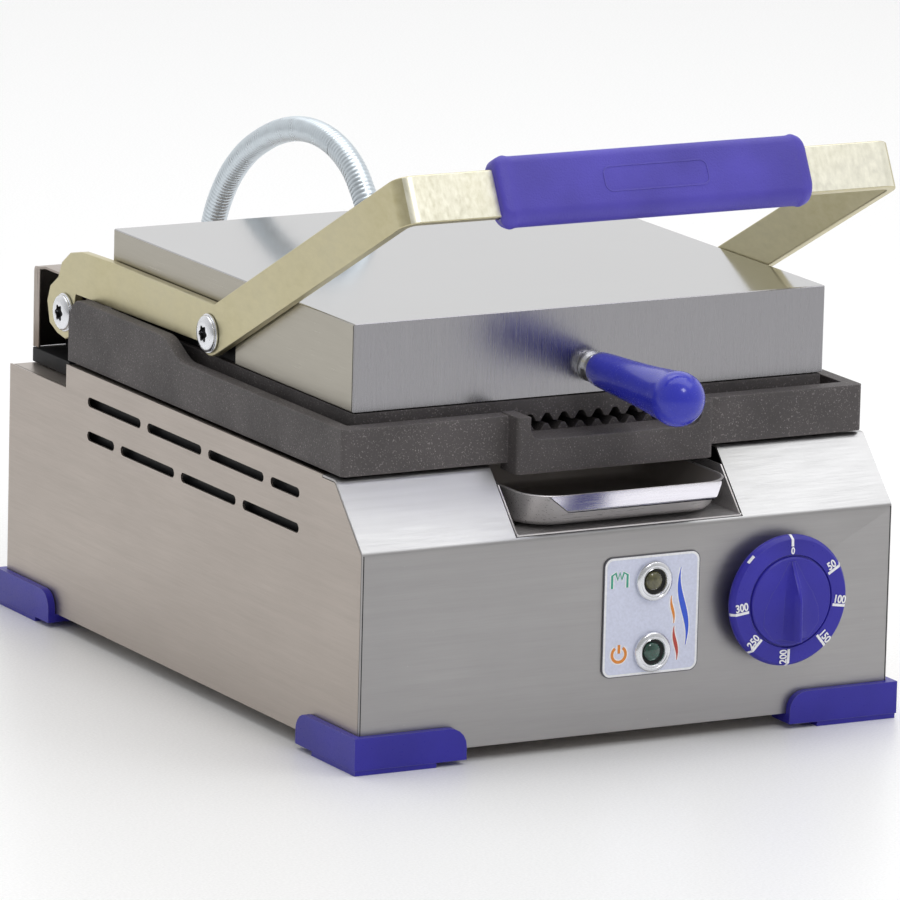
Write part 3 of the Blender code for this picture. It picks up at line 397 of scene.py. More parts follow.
def stoneware(name, colour):
    material = plain(name, colour, 0.7)
    grit = clouds(material, 600.0, detail=4.0)
    vary_tone(material, grit, 0.3, 0.7, colour, 0.85, 1.05)
    bump(material, grit, 0.3, 0.0003)
    return material


STEEL_SIDE = (0.46, 0.41, 0.37)
# the front's steel is the sides' steel painted darker and greyer: painted shade on the front
# panel's face
STEEL_FRONT_PAINTED_SHADE = (0.395, 0.385, 0.385)
BLUE = (0.031, 0.024, 0.34)
VIOLET = (0.080, 0.062, 0.430)

MATERIALS = {name: maker(name, *values) for maker, name, *values in (
    (brushed, "side_steel", STEEL_SIDE, 0.40, "y"),
    # painted shade: the front panel's face, a darker copy of the side steel
    (brushed, "front_steel", STEEL_FRONT_PAINTED_SHADE, 0.40, "x", 0.04),
    # painted light: the upward shoulders, a lighter copy of the front panel's steel
    (brushed, "shoulder_steel", (0.50, 0.50, 0.505), 0.34, "x", 0.04, 0.14),
    (brushed, "deck_steel", STEEL_SIDE, 0.36, "x"),
    # painted light and shade: the lid's top, front and side are one steel, lighter on the top and
    # darker on the front by how light falls on them
    (brushed, "lid_top_steel", (0.475, 0.475, 0.48), 0.12, "x", 0.012, 0.010),
    (brushed, "lid_front_steel", (0.325, 0.32, 0.335), 0.25, "z", 0.008, 0.0015),
    (brushed, "lid_side_steel", (0.42, 0.395, 0.34), 0.32, "y", 0.012, 0.02),
    (brushed, "tray_steel", (0.62, 0.60, 0.60), 0.30, "x", 0.03, 0.03, 0.65),
    # painted shade: the pull lip, a darker copy of the tray's steel that damps the light it catches
    (brushed, "lip_steel", (0.45, 0.44, 0.475), 0.24, "x", 0.03, 0.03, 0.9),
    # painted shade: the pan's inside faces, a darker, browner and less metallic copy of its steel
    # for the shade under the plate
    (brushed, "tray_inside", (0.50, 0.46, 0.43), 0.42, "x", 0.06, 0.05, 0.45),
    (iron, "cast_iron", (0.080, 0.072, 0.072)),
    (passivated, "zinc_yellow", (0.53, 0.485, 0.315)),
    # painted light: the crossbar's broad faces, a paler copy of the yoke's yellow zinc
    (passivated, "zinc_pale", (0.80, 0.78, 0.66)),
    (bright, "bright_zinc", (0.78, 0.79, 0.82), 0.20),
    (bright, "conduit_zinc", (0.63, 0.69, 0.735), 0.28),
    (moulded, "blue_plastic", BLUE, 0.34, 0.16),
    (moulded, "peg_plastic", (0.028, 0.034, 0.46), 0.20, 0.03, 0.3),
    (moulded, "violet_sleeve", VIOLET, 0.42, 0.75),
    (black_paint, "black_steel"),
    (bright, "spring_steel", (0.20, 0.20, 0.21), 0.35),
    (bright, "bronze", (0.50, 0.35, 0.17), 0.4),
    (bright, "element", (0.12, 0.115, 0.105), 0.5),
    (printed, "label_film", (0.66, 0.69, 0.84)),
    (clear_lens, "amber_lens", (0.075, 0.070, 0.024)),
    (clear_lens, "green_lens", (0.006, 0.055, 0.036)),
    (stoneware, "ceramic", (0.78, 0.74, 0.66)),
    (black_paint, "black_plastic", (0.02, 0.02, 0.02)),
    (printed, "ink_white", (0.88, 0.88, 0.90)),
    (printed, "ink_outline", (0.10, 0.10, 0.12)),
    (printed, "ink_green", (0.05, 0.36, 0.25)),
    (printed, "ink_orange", (0.74, 0.25, 0.03)),
    (printed, "ink_blue", (0.03, 0.10, 0.66)),
    (printed, "ink_red", (0.50, 0.06, 0.04)),
)}

# ---------------------------------------- outlines and solids

def arc(centre, radius, start_deg, end_deg, steps):
    """Points on an arc in the plane, both ends included."""
    points = []
    for i in range(steps + 1):
        angle = math.radians(start_deg + (end_deg - start_deg) * i / steps)
        points.append((centre[0] + radius * math.cos(angle), centre[1] + radius * math.sin(angle)))
    return points


def rounded_rectangle(low, high, radii, steps=8):
    """Counter-clockwise from the lower left corner; one radius for each corner."""
    corners = [(low[0], low[1]), (high[0], low[1]), (high[0], high[1]), (low[0], high[1])]
    inward = [(1, 1), (-1, 1), (-1, -1), (1, -1)]
    points = []
    for i, (corner, side, radius) in enumerate(zip(corners, inward, radii)):
        centre = (corner[0] + side[0] * radius, corner[1] + side[1] * radius)
        points += arc(centre, radius, 180 + 90 * i, 270 + 90 * i, steps)
    return points


def smooth_route(points, steps):
    """A Catmull-Rom curve through points."""
    knots = [Vector(p) for p in points]
    knots = [2 * knots[0] - knots[1]] + knots + [2 * knots[-1] - knots[-2]]
    out = []
    for i in range(1, len(knots) - 2):
        a, b, c, d = knots[i - 1:i + 3]
        for j in range(steps):
            t = j / steps
            out.append(0.5 * (2 * b + (c - a) * t + (2 * a - 5 * b + 4 * c - d) * t ** 2
                              + (3 * b - a - 3 * c + d) * t ** 3))
    out.append(knots[-2])
    return out


def even_route(points, spacing):
    """The path walked again in equal steps of about the spacing."""
    lengths = [0.0]
    for a, b in zip(points, points[1:]):
        lengths.append(lengths[-1] + (b - a).length)
    count = max(2, round(lengths[-1] / spacing))
    out, k = [], 0
    for i in range(count + 1):
        along = lengths[-1] * i / count
        while k < len(points) - 2 and lengths[k + 1] < along:
            k += 1
        t = (along - lengths[k]) / (lengths[k + 1] - lengths[k])
        out.append(points[k].lerp(points[k + 1], t))
    return out


def value_at(table, key):
    """Linear interpolation in rows of (key, value), the keys rising."""
    if key <= table[0][0]:
        return table[0][1]
    for (a, low), (b, high) in zip(table, table[1:]):
        if key <= b:
            t = (key - a) / (b - a)
            return low + (high - low) * t
    return table[-1][1]


def skin(bm, rings, looped=False):
    """Quads between rings of equal length; the ends are capped, or joined when looped."""
    rows = [[bm.verts.new(p) for p in ring] for ring in rings]
    pairs = list(zip(rows, rows[1:]))
    if looped:
        pairs.append((rows[-1], rows[0]))
    for row, following in pairs:
        for i in range(len(row)):
            j = (i + 1) % len(row)
            bm.faces.new((row[i], row[j], following[j], following[i]))
    if not looped:
        bm.faces.new(rows[0])
        bm.faces.new(rows[-1])


# the two axes across a turned profile and the one along it
AXES = {"x": (1, 2, 0), "y": (0, 2, 1)}
LOBES = 6
LOBE_DEPTH = 0.16


def turned(bm, profile, axis, centre, segments=48, lobed=()):
    """A (radius, height) profile turned about an axis; the rows in lobed become a star."""
    first, second, third = AXES[axis]
    rings = []
    for row, (radius, height) in enumerate(profile):
        ring = []
        for i in range(segments if radius else 1):
            angle = 2 * math.pi * i / segments
            swell = LOBE_DEPTH * math.cos(LOBES * angle) if row in lobed else 0.0
            reach = radius * (1 + swell)
            point = Vector(centre)
            point[first] += reach * math.cos(angle)
            point[second] += reach * math.sin(angle)
            point[third] += height
            ring.append(bm.verts.new(point))
        rings.append(ring)
    for a, b in zip(rings, rings[1:] + rings[:1]):
        for i in range(segments if len(a) + len(b) > 2 else 0):
            j = (i + 1) % segments
            if len(a) == 1:
                bm.faces.new((a[0], b[j], b[i]))
            elif len(b) == 1:
                bm.faces.new((a[i], a[j], b[0]))
            else:
                bm.faces.new((a[i], a[j], b[j], b[i]))


def piece_from(name, bm, material, body, replaces=(), smooth_deg=None):
    """A finished object from the bmesh, riding on a body, or on none when body is None."""
    bmesh.ops.recalc_face_normals(bm, faces=bm.faces)
    mesh = bpy.data.meshes.new(name)
    bm.to_mesh(mesh)
    bm.free()
    piece = new_object(name, mesh)
    mesh.materials.append(MATERIALS[material])
    if smooth_deg:
        smooth(mesh, smooth_deg)
    if replaces:
        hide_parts(*replaces)
    if body:
        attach(piece, body)
    return piece


BEVEL_LIMIT_DEG = 30
LARGE_SEGMENTS = 5


def round_edges(piece, width, segments, large=None):
    """Rounded edges whose flats stay flat in shading.

    large is (width, test of an edge's two ends) for edges that are rounded further first."""
    piece.data.shade_smooth()
    if large:
        large_width, is_large = large
        mesh = piece.data
        weights = mesh.attributes.new("bevel_weight_edge", "FLOAT", "EDGE")
        for edge in mesh.edges:
            ends = [mesh.vertices[i].co for i in edge.vertices]
            weights.data[edge.index].value = 1.0 if is_large(*ends) else 0.0
        wide = piece.modifiers.new("large_rounding", "BEVEL")
        wide.width = large_width
        wide.segments = LARGE_SEGMENTS
        wide.limit_method = "WEIGHT"
        wide.use_clamp_overlap = True
    bevel = piece.modifiers.new("rounding", "BEVEL")
    bevel.width = width
    bevel.segments = segments
    bevel.limit_method = "ANGLE"
    bevel.angle_limit = math.radians(BEVEL_LIMIT_DEG)
    bevel.use_clamp_overlap = True
    bevel.miter_outer = "MITER_ARC"
    weighted = piece.modifiers.new("flats", "WEIGHTED_NORMAL")
    weighted.mode = "FACE_AREA"
    weighted.weight = 100


# ---------------------------------------- CAD nodes with a new finish

SLOTS = {row["node"]: row["material_slot"] for row in frame["record"]["subparts"]}
YOKE_RISE = math.radians(27.5)
ALONG_YOKE = Vector((0, -math.cos(YOKE_RISE), math.sin(YOKE_RISE)))
ACROSS_YOKE = Vector((0, math.sin(YOKE_RISE), math.cos(YOKE_RISE)))
WELD_DISTANCE = 2e-6
COPLANAR_DEG = 0.6


def merged_mesh(node_name, name):
    """A copy of a CAD node's mesh with its coplanar triangles merged."""
    bm = bmesh.new()
    bm.from_mesh(frame["nodes"][node_name].data)
    bmesh.ops.remove_doubles(bm, verts=bm.verts, dist=WELD_DISTANCE)
    bmesh.ops.dissolve_limit(bm, angle_limit=math.radians(COPLANAR_DEG), verts=bm.verts,
                             edges=bm.edges)
    bmesh.ops.recalc_face_normals(bm, faces=bm.faces)
    mesh = bpy.data.meshes.new(name)
    bm.to_mesh(mesh)
    bm.free()
    return mesh


def refined(node_name, material, body, rounding=0.0, smooth_deg=None, segments=2, zones=(),
            large=None):
    """A finer copy of a CAD node in the node's place.

    A zone is (material, test of a face's normal and centre) and takes the faces that pass."""
    name = node_name + "_finished"
    mesh = merged_mesh(node_name, name)
    piece = new_object(name, mesh)
    mesh.materials.append(MATERIALS[material])
    for index, (finish, test) in enumerate(zones, 1):
        mesh.materials.append(MATERIALS[finish])
        for face in mesh.polygons:
            if test(face.normal, face.center):
                face.material_index = index
    if rounding:
        round_edges(piece, rounding, segments, large)
    elif smooth_deg:
        smooth(mesh, smooth_deg)
    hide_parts(node_name)
    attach(piece, body)
    return piece


def repaint(node_name, material):
    """A CAD node that keeps its shape and gets a better material."""
    source = frame["nodes"][node_name]
    source.data.materials.clear()
    source.data.materials.append(MATERIALS[material])


def spout_corner(first, second):
    """The plate's upright outer corners, those of its spout among them."""
    low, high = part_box("lower_plate")
    upright = abs(first.x - second.x) < 1e-5 and abs(first.y - second.y) < 1e-5
    in_front = first.y < high.y - 0.2 and abs(first.z - second.z) > 0.008
    on_spout = first.y < low.y + 0.001 and abs(first.x) > 0.055
    on_corner = abs(first.x) > high.x - 0.001 and first.y < low.y + 0.02
    return upright and in_front and (on_spout or on_corner)


# the faces that take the painted light on the yoke
def crossbar_face(normal, centre):
    """The broad faces of the yoke's crossbar."""
    return abs(normal.dot(ALONG_YOKE)) > 0.75 and centre.y < -0.2


def sheet_metal():
    """Panels and pressings, cast plates, the yoke and the plastic feet."""
    for panel in ("side_panel_left", "side_panel_right", "rear_panel", "base_plate", "tower_cover"):
        refined(panel, "side_steel", "base", smooth_deg=50)
    # painted shade on the front panel's face and painted light on its upward shoulders
    refined("front_panel", "front_steel", "base", smooth_deg=20,
            zones=(("shoulder_steel", lambda normal, centre: normal.z > 0.4),))
    refined("rear_deck", "deck_steel", "base", smooth_deg=40)
    refined("tray_chute", "tray_steel", "base", smooth_deg=30)
    refined("hinge_base", "black_steel", "base", 0.0006)
    refined("lower_plate", "cast_iron", "base", 0.0006, large=(0.0028, spout_corner))
    refined("upper_plate", "cast_iron", "lid", 0.0005)
    # painted light on the crossbar's broad faces, which face the light
    refined("lift_yoke", "zinc_yellow", "yoke", 0.0006, zones=(("zinc_pale", crossbar_face),))
    # lit and shaded copies of one steel: painted light on the lid's top, painted shade on its front
    refined("lid_cover", "lid_side_steel", "lid", 0.0005,
            zones=(("lid_top_steel", lambda normal, centre: normal.z > 0.7),
                   ("lid_front_steel", lambda normal, centre: abs(normal.y) > 0.7)))
    for end in ("front", "rear"):
        for side in ("left", "right"):
            refined(f"corner_foot_{end}_{side}", "blue_plastic", "base", 0.0010, segments=3)


# ---------------------------------------- thermostat knob

KNOB_LOW, KNOB_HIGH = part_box("thermostat_knob")
KNOB = Vector(((KNOB_LOW.x + KNOB_HIGH.x) / 2, HOUSING.y, (KNOB_LOW.z + KNOB_HIGH.z) / 2))
DISC_PROFILE = ((0.0034, -0.0010), (0.0200, -0.0010), (0.0200, -0.0070), (0.0336, -0.0074),
                (0.0343, -0.0078), (0.0345, -0.0084), (0.0345, -0.0096), (0.0342, -0.0103),
                (0.0331, -0.0121), (0.0326, -0.0125), (0.0256, -0.0128), (0.0246, -0.0127),
                (0.0241, -0.0117), (0.0236, -0.0117), (0.0233, -0.0131), (0.0227, -0.0136),
                (0.0, -0.0136), (0.0, -0.0092), (0.0034, -0.0092))
DISC_FACE = 0.0136
# height of the pointer's crest, its steep half-width and its flare, by height above the centre
RIDGE_CREST = ((-0.0195, 0.0104), (0.0010, 0.0101), (0.0060, 0.0086), (0.0108, 0.0060),
               (0.0160, 0.0030), (0.0212, 0.0006))
RIDGE_STEEP = ((-0.0195, 0.0058), (0.0020, 0.0050), (0.0110, 0.0038), (0.0212, 0.0012))
RIDGE_FLARE = ((-0.0195, 0.0105), (-0.0120, 0.0165), (-0.0040, 0.0160), (0.0040, 0.0125),
               (0.0110, 0.0078), (0.0212, 0.0020))
DIAL_MARKS = (("0", 0), ("50", 60), ("100", 99), ("150", 140), ("200", 181), ("250", 222),
              ("300", 262))
DIGIT_SIZE = 0.0058
ZERO_SIZE = 0.0050
TICK_HALF = 0.0007
# characters: their narrowing, their height off the surface and their extra weight by size
LETTER_SQUEEZE = 0.86
LETTER_THICKNESS = 0.0003
LETTER_WEIGHT = 0.025


def on_dial(x, z, depth):
    """A point in front of the knob's centre."""
    return KNOB + Vector((x, -depth, z))


def knob_disc():
    bm = bmesh.new()
    turned(bm, DISC_PROFILE, "y", KNOB, 96)
    piece_from("knob_disc", bm, "blue_plastic", "knob", ("thermostat_knob",), 35)


def knob_pointer():
    """A wedge that rises from the tip to a tall blade with concave flares."""
    bm = bmesh.new()
    rings = []
    rows = 36
    for i in range(rows + 1):
        z = 0.0212 - (0.0212 + 0.0195) * i / rows
        crest = value_at(RIDGE_CREST, z)
        steep = value_at(RIDGE_STEEP, z)
        chord = math.sqrt(0.0224 ** 2 - z ** 2)
        flare = max(steep * 1.3, min(value_at(RIDGE_FLARE, z), chord * 0.98))
        half = [(0.0004, crest), (0.0009, crest * 0.97), (steep * 0.50, crest * 0.60),
                (steep * 0.80, crest * 0.30), (steep, crest * 0.15)]
        for share in (0.2, 0.45, 0.7, 1.0):
            half.append((steep + (flare - steep) * share, crest * 0.15 * (1 - share) ** 2 + 0.0001))
        half.append((flare, -0.0006))
        section = [(-x, up) for x, up in reversed(half)] + half
        rings.append([on_dial(x, z, DISC_FACE + up) for x, up in section])
    skin(bm, rings)
    piece_from("knob_pointer", bm, "blue_plastic", "knob", (), 38)


def lettering(bm, text, origin, along, up, size):
    """Flat characters of the built-in font, thick along the cross product of the axes."""
    curve = bpy.data.curves.new("lettering", "FONT")
    curve.body = text
    curve.size = size
    curve.extrude = LETTER_THICKNESS / 2
    curve.offset = size * LETTER_WEIGHT
    curve.align_x = "CENTER"
    holder = new_object("lettering", curve)
    bpy.context.view_layer.update()
    finished = holder.evaluated_get(bpy.context.evaluated_depsgraph_get())
    mesh = bpy.data.meshes.new_from_object(finished)
    out = along.cross(up)
    first = len(bm.verts)
    bm.from_mesh(mesh)
    bm.verts.ensure_lookup_table()
    for vertex in bm.verts[first:]:
        x, y, z = vertex.co
        vertex.co = origin + along * (x * LETTER_SQUEEZE) + up * y + out * z
    bpy.data.objects.remove(holder)
    bpy.data.curves.remove(curve)
    bpy.data.meshes.remove(mesh)


def dial_scale():
    """Raised white ticks that run over the disc's chamfer, each with its number."""
    bm = bmesh.new()
    for text, degrees in DIAL_MARKS:
        angle = math.radians(degrees)
        outward = Vector((math.sin(angle), 0, math.cos(angle)))
        across = Vector((math.cos(angle), 0, -math.sin(angle)))
        inner_end = 0.0290 if text == "0" else 0.0252
        rings = []
        for radius, top, foot in ((inner_end, 0.0131, 0.0120), (0.0327, 0.0128, 0.0116),
                                  (0.0345, 0.0101, 0.0090)):
            rings.append([KNOB + outward * radius + across * side - Vector((0, depth, 0))
                          for side, depth in ((-TICK_HALF, foot), (TICK_HALF, foot),
                                              (TICK_HALF, top), (-TICK_HALF, top))])
        skin(bm, rings)
        if text == "0":
            lettering(bm, text, on_dial(0.0002, 0.0250, 0.0129), Vector((1, 0, 0)),
                      Vector((0, 0, 1)), ZERO_SIZE)
            continue
        along = outward if degrees < 160 else -outward
        up = Vector((-along.z, 0, along.x))
        origin = KNOB + outward * 0.0290 + up * 0.0012 - Vector((0, 0.0129, 0))
        lettering(bm, text, origin, along, up, DIGIT_SIZE)
    rings = []
    for radius, top, foot in ((0.0333, 0.0122, 0.0112), (0.0341, 0.0109, 0.0099)):
        ring = []
        for degrees, depth in ((-49, foot), (-41, foot), (-41, top), (-49, top)):
            angle = math.radians(degrees)
            ring.append(on_dial(math.sin(angle) * radius, math.cos(angle) * radius, depth))
        rings.append(ring)
    skin(bm, rings)
    piece_from("dial_scale", bm, "ink_white", "knob")


# ---------------------------------------- label and lamps

LABEL_LOW, LABEL_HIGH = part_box("label_plate")
LAMPS = {"upper": centre_of("lamp_bezel_upper"), "lower": centre_of("lamp_bezel_lower")}
LABEL_FACE = 0.0012


def plate_on_front(bm, outline, back, front):
    """A thin plate with an outline in the part's x and z, between two depths before the front."""
    skin(bm, [[Vector((x, HOUSING.y - depth, z)) for x, z in outline] for depth in (back, front)])


def stroke(bm, points, widths, back, front):
    """A painted line of changing width."""
    left, right = [], []
    for i, point in enumerate(points):
        ahead = Vector(points[min(i + 1, len(points) - 1)]) - Vector(points[max(i - 1, 0)])
        aside = Vector((-ahead.y, ahead.x)).normalized() * (widths[i] / 2)
        left.append(tuple(Vector(point) + aside))
        right.append(tuple(Vector(point) - aside))
    rows = []
    for depth in (back, front):
        rows.append([[bm.verts.new((x, HOUSING.y - depth, z)) for x, z in side]
                     for side in (left, right)])
    (back_left, back_right), (front_left, front_right) = rows
    for i in range(len(points) - 1):
        for a, b in ((front_left, front_right), (back_left, back_right), (front_left, back_left),
                     (front_right, back_right)):
            bm.faces.new((a[i], a[i + 1], b[i + 1], b[i]))
    for i in (0, -1):
        bm.faces.new((front_left[i], front_right[i], back_right[i], back_left[i]))


def wave(x, low, high, sway, turns, thickness):
    """Points and widths of a rising heat line that swells in its middle."""
    points, widths = [], []
    count = 28
    for i in range(count + 1):
        t = i / count
        points.append((HOUSING.x + x + sway * math.sin(math.pi * turns * (t - 0.5)),
                       HOUSING.z + low + (high - low) * t))
        widths.append(0.0003 + thickness * math.sin(math.pi * t) ** 1.4)
    return points, widths


def label():
    """A printed plate: dark edge, white border, pale face, and plain symbols with white halos."""
    for name, inset, front, finish in (("label_edge", 0.0, 0.0009, "ink_outline"),
                                       ("label_border", 0.0005, 0.0010, "ink_white"),
                                       ("label_face", 0.0017, 0.0011, "label_film")):
        bm = bmesh.new()
        low, high = LABEL_LOW, LABEL_HIGH
        outline = rounded_rectangle((low.x + inset, low.z + inset),
                                    (high.x - inset, high.z - inset), (0.005 - inset * 0.9,) * 4)
        plate_on_front(bm, outline, 0.0002, front)
        piece_from(name, bm, finish, "base", ("label_plate",) if inset == 0 else ())

    lines = [("ink_blue", *wave(0.0312, 0.0425, 0.0835, -0.0026, 1.5, 0.0029)),
             ("ink_orange", *wave(0.0250, 0.0545, 0.0690, -0.0010, 1.4, 0.0012)),
             ("ink_red", *wave(0.0272, 0.0350, 0.0530, -0.0012, 1.4, 0.0017))]
    upper, lower = LAMPS["upper"], LAMPS["lower"]
    zigzag = [(-0.0243, -0.0022), (-0.0243, 0.0045), (-0.0222, 0.0058), (-0.0210, 0.0022),
              (-0.0198, 0.0058), (-0.0186, 0.0022), (-0.0174, 0.0058), (-0.0153, 0.0045),
              (-0.0153, -0.0022)]
    heater = [(upper.x + x, upper.z + z) for x, z in zigzag]
    lines.append(("ink_green", heater, [0.0012] * len(heater)))
    centre = (lower.x - 0.0192, lower.z)
    ring = arc(centre, 0.0040, 125, 415, 30)
    lines.append(("ink_orange", ring, [0.0015] * len(ring)))
    lines.append(("ink_orange", [(centre[0], centre[1] + 0.0006), (centre[0], centre[1] + 0.0050)],
                  [0.0015] * 2))
    halo = bmesh.new()
    inks = {}
    for ink, points, widths in lines:
        stroke(inks.setdefault(ink, bmesh.new()), points, widths, 0.0002, LABEL_FACE + 0.00015)
        stroke(halo, points, [width + 0.0014 for width in widths], 0.0002, LABEL_FACE)
    piece_from("label_halo", halo, "ink_white", "base")
    for ink, bm in inks.items():
        piece_from("label_" + ink, bm, ink, "base")


def lamps():
    """Plated bezels with a stepped front, a black recess and a domed lens."""
    bezel = ((0.0105, -0.0013), (0.0105, -0.0026), (0.0102, -0.0032), (0.0096, -0.0037),
             (0.0084, -0.0039), (0.0080, -0.0036), (0.0074, -0.0036), (0.0070, -0.0039),
             (0.0067, -0.0036), (0.0064, -0.0020), (0.0064, -0.0013))
    recess = ((0.0, -0.0012), (0.0066, -0.0012), (0.0066, -0.0019), (0.0052, -0.0016),
              (0.0, -0.0016))
    dome = [(0.0, -0.0013), (0.0052, -0.0013)]
    dome += [(0.0050 * math.cos(math.radians(a)), -0.0015 - 0.0023 * math.sin(math.radians(a)))
             for a in range(0, 90, 12)]
    dome.append((0.0, -0.0038))
    for level, finish in (("upper", "amber_lens"), ("lower", "green_lens")):
        centre = Vector((LAMPS[level].x, HOUSING.y, LAMPS[level].z))
        for name, profile, material, slot, node_name in (
                ("lamp_rim_", bezel, "bright_zinc", "fastener_zinc", "lamp_bezel_"),
                ("lamp_recess_", recess, "black_plastic", "black_plastic", None),
                ("lamp_dome_", dome, finish, finish, "lamp_lens_")):
            bm = bmesh.new()
            turned(bm, profile, "y", centre, 48)
            piece_from(name + level, bm, material, "base",
                       (node_name + level,) if node_name else (), 40)


# ---------------------------------------- bolts and screws

# shank, washer, dome and star recess
HEAD_PROFILE = ((0.0, -0.0080), (0.0040, -0.0080), (0.0040, 0.0), (0.0104, 0.0), (0.0104, 0.0007),
                (0.0101, 0.0010), (0.0094, 0.0010), (0.0096, 0.0015), (0.0095, 0.0021),
                (0.0089, 0.0028), (0.0078, 0.0033), (0.0062, 0.0037), (0.0046, 0.0038),
                (0.0040, 0.0036), (0.0036, 0.0016), (0.0, 0.0014))
HEAD_HEIGHT = 0.0038
STAR_ROWS = (12, 13, 14)
RECESS_RADIUS = 0.0043
RECESS_HEIGHTS = (0.001, 0.0033)
SCREW_START = 5
SCREW_SEAT = 0.0006
REAR_SCREW_SCALE = 0.42
REAR_SCREWS = ((-0.138, 0.0065), (-0.138, 0.1185), (0.0, 0.0065), (0.138, 0.0065), (0.138, 0.1185))


def domed_bolt(name, node_name, body):
    """Washer, domed head and dark star recess in place of a plain bolt, facing outwards."""
    low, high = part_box(node_name)
    side = 1 if low.x + high.x > 0 else -1
    centre = (low + high) / 2
    centre.x = side * (max(abs(low.x), abs(high.x)) - HEAD_HEIGHT)
    profile = [(radius, side * height) for radius, height in HEAD_PROFILE]
    bm = bmesh.new()
    turned(bm, profile, "x", centre, 48, STAR_ROWS)
    head = piece_from(name, bm, "bright_zinc", body, (node_name,), 40)
    head.data.materials.append(MATERIALS["black_steel"])
    for face in head.data.polygons:
        from_axis = math.hypot(face.center.y - centre.y, face.center.z - centre.z)
        height = side * (face.center.x - centre.x)
        if from_axis < RECESS_RADIUS and RECESS_HEIGHTS[0] < height < RECESS_HEIGHTS[1]:
            face.material_index = 1


def rear_screw(bm, centre):
    """A pan head with a star recess, without the shank and the washer's back."""
    scale = REAR_SCREW_SCALE
    head = [(radius * scale, height * scale) for radius, height in HEAD_PROFILE[SCREW_START:]]
    profile = [(0.0, -SCREW_SEAT), (head[0][0], -SCREW_SEAT)] + head
    star = tuple(row - SCREW_START + 2 for row in STAR_ROWS)
    turned(bm, profile, "y", centre, 30, star)


def fasteners():
    """The four bolt heads at the yoke's ends and the rear panel's screws."""
    for side in ("left", "right"):
        domed_bolt("hinge_head_" + side, "hinge_bolt_" + side, "base")
        domed_bolt("pivot_head_" + side, "pivot_bolt_" + side, "lid")
    bm = bmesh.new()
    for x, z in REAR_SCREWS:
        rear_screw(bm, at(x, DEPTH + 0.0001, z))
    piece_from("rear_screws", bm, "bright_zinc", "base", (), 40)


# ---------------------------------------- grip, handle and conduit

GRIP_LOW, GRIP_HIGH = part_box("grip")
GRIP_CENTRE = (GRIP_LOW + GRIP_HIGH) / 2
GRIP_HALF = GRIP_HIGH.x
# half the section's width and thickness, its corner radii, and its scale by distance from an end
GRIP_WIDE, GRIP_THICK = 0.0190, 0.0080
GRIP_RADII = (0.0070, 0.0050, 0.0050, 0.0078)
GRIP_SCALE = ((0.0, 0.70), (0.0003, 0.775), (0.0008, 0.830), (0.0016, 0.880), (0.0026, 0.918),
              (0.0038, 0.945), (0.0050, 0.968), (0.0060, 0.981), (0.0068, 0.980), (0.0077, 0.967),
              (0.0088, 0.956), (0.0110, 0.952))
FRAME_WIDE, FRAME_TALL = 0.030, 0.0065
FRAME_SHIFT = 0.0012


def on_grip(x, across, along):
    """A point from the grip's centre in the yoke's own directions."""
    return Vector((x, GRIP_CENTRE.y, GRIP_CENTRE.z)) + ACROSS_YOKE * across + ALONG_YOKE * along


def grip():
    """A sleeve with a soft bead near each end, and a plain raised frame on its face."""
    stations = [(inset - GRIP_HALF, scale) for inset, scale in GRIP_SCALE]
    stations += [(-x, scale) for x, scale in reversed(stations)]
    bm = bmesh.new()
    rings = []
    for x, scale in stations:
        wide, thick = GRIP_WIDE * scale, GRIP_THICK * scale
        section = rounded_rectangle((-wide, -thick), (wide, thick), GRIP_RADII, 10)
        rings.append([on_grip(x, u, v) for u, v in section])
    skin(bm, rings)
    piece_from("grip_sleeve", bm, "violet_sleeve", "yoke", ("grip",), 50)

    face = GRIP_THICK * GRIP_SCALE[-1][1]
    bm = bmesh.new()
    rings = []
    for grow, height in ((0.0006, -0.0003), (0.0003, 0.0003), (-0.0003, 0.0003),
                         (-0.0006, -0.0003)):
        outline = rounded_rectangle((-FRAME_WIDE - grow, -FRAME_TALL - grow),
                                    (FRAME_WIDE + grow, FRAME_TALL + grow), (0.004 + grow,) * 4)
        rings.append([on_grip(x, across + FRAME_SHIFT, face + height) for x, across in outline])
    skin(bm, rings, looped=True)
    piece_from("grip_frame", bm, "violet_sleeve", "yoke", (), 60)


def peg():
    """The lid's turned front handle on its stud."""
    low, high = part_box("peg_handle")
    centre = Vector(((low.x + high.x) / 2, HOUSING.y, (low.z + high.z) / 2))
    tip = low.y - HOUSING.y
    radius = 0.0142
    profile = [(0.0, 0.0372), (0.0078, 0.0372), (0.0086, 0.0368), (0.0090, 0.0358),
               (0.0094, 0.0300), (0.0098, 0.0200), (0.0103, 0.0080), (0.0110, -0.0060),
               (0.0119, -0.0190), (0.0130, -0.0310)]
    for i in range(15):
        angle = math.radians(-16 + 106 * i / 14)
        profile.append((radius * math.cos(angle), tip + radius - radius * math.sin(angle)))
    profile[-1] = (0.0, tip)
    bm = bmesh.new()
    turned(bm, profile, "y", centre, 56)
    piece_from("peg_knob", bm, "peg_plastic", "lid", ("peg_handle",), 60)
    stud = ((0.0, 0.0505), (0.0034, 0.0505), (0.0034, 0.0460), (0.0074, 0.0460),
            (0.0080, 0.0455), (0.0083, 0.0447), (0.0080, 0.0438), (0.0070, 0.0424),
            (0.0064, 0.0405), (0.0066, 0.0392), (0.0072, 0.0384), (0.0072, 0.0376),
            (0.0034, 0.0374), (0.0034, 0.0300), (0.0, 0.0300))
    bm = bmesh.new()
    turned(bm, stud, "y", centre, 48)
    piece_from("peg_collar", bm, "bright_zinc", "lid", ("peg_stud",), 40)


CONDUIT_X = -0.003
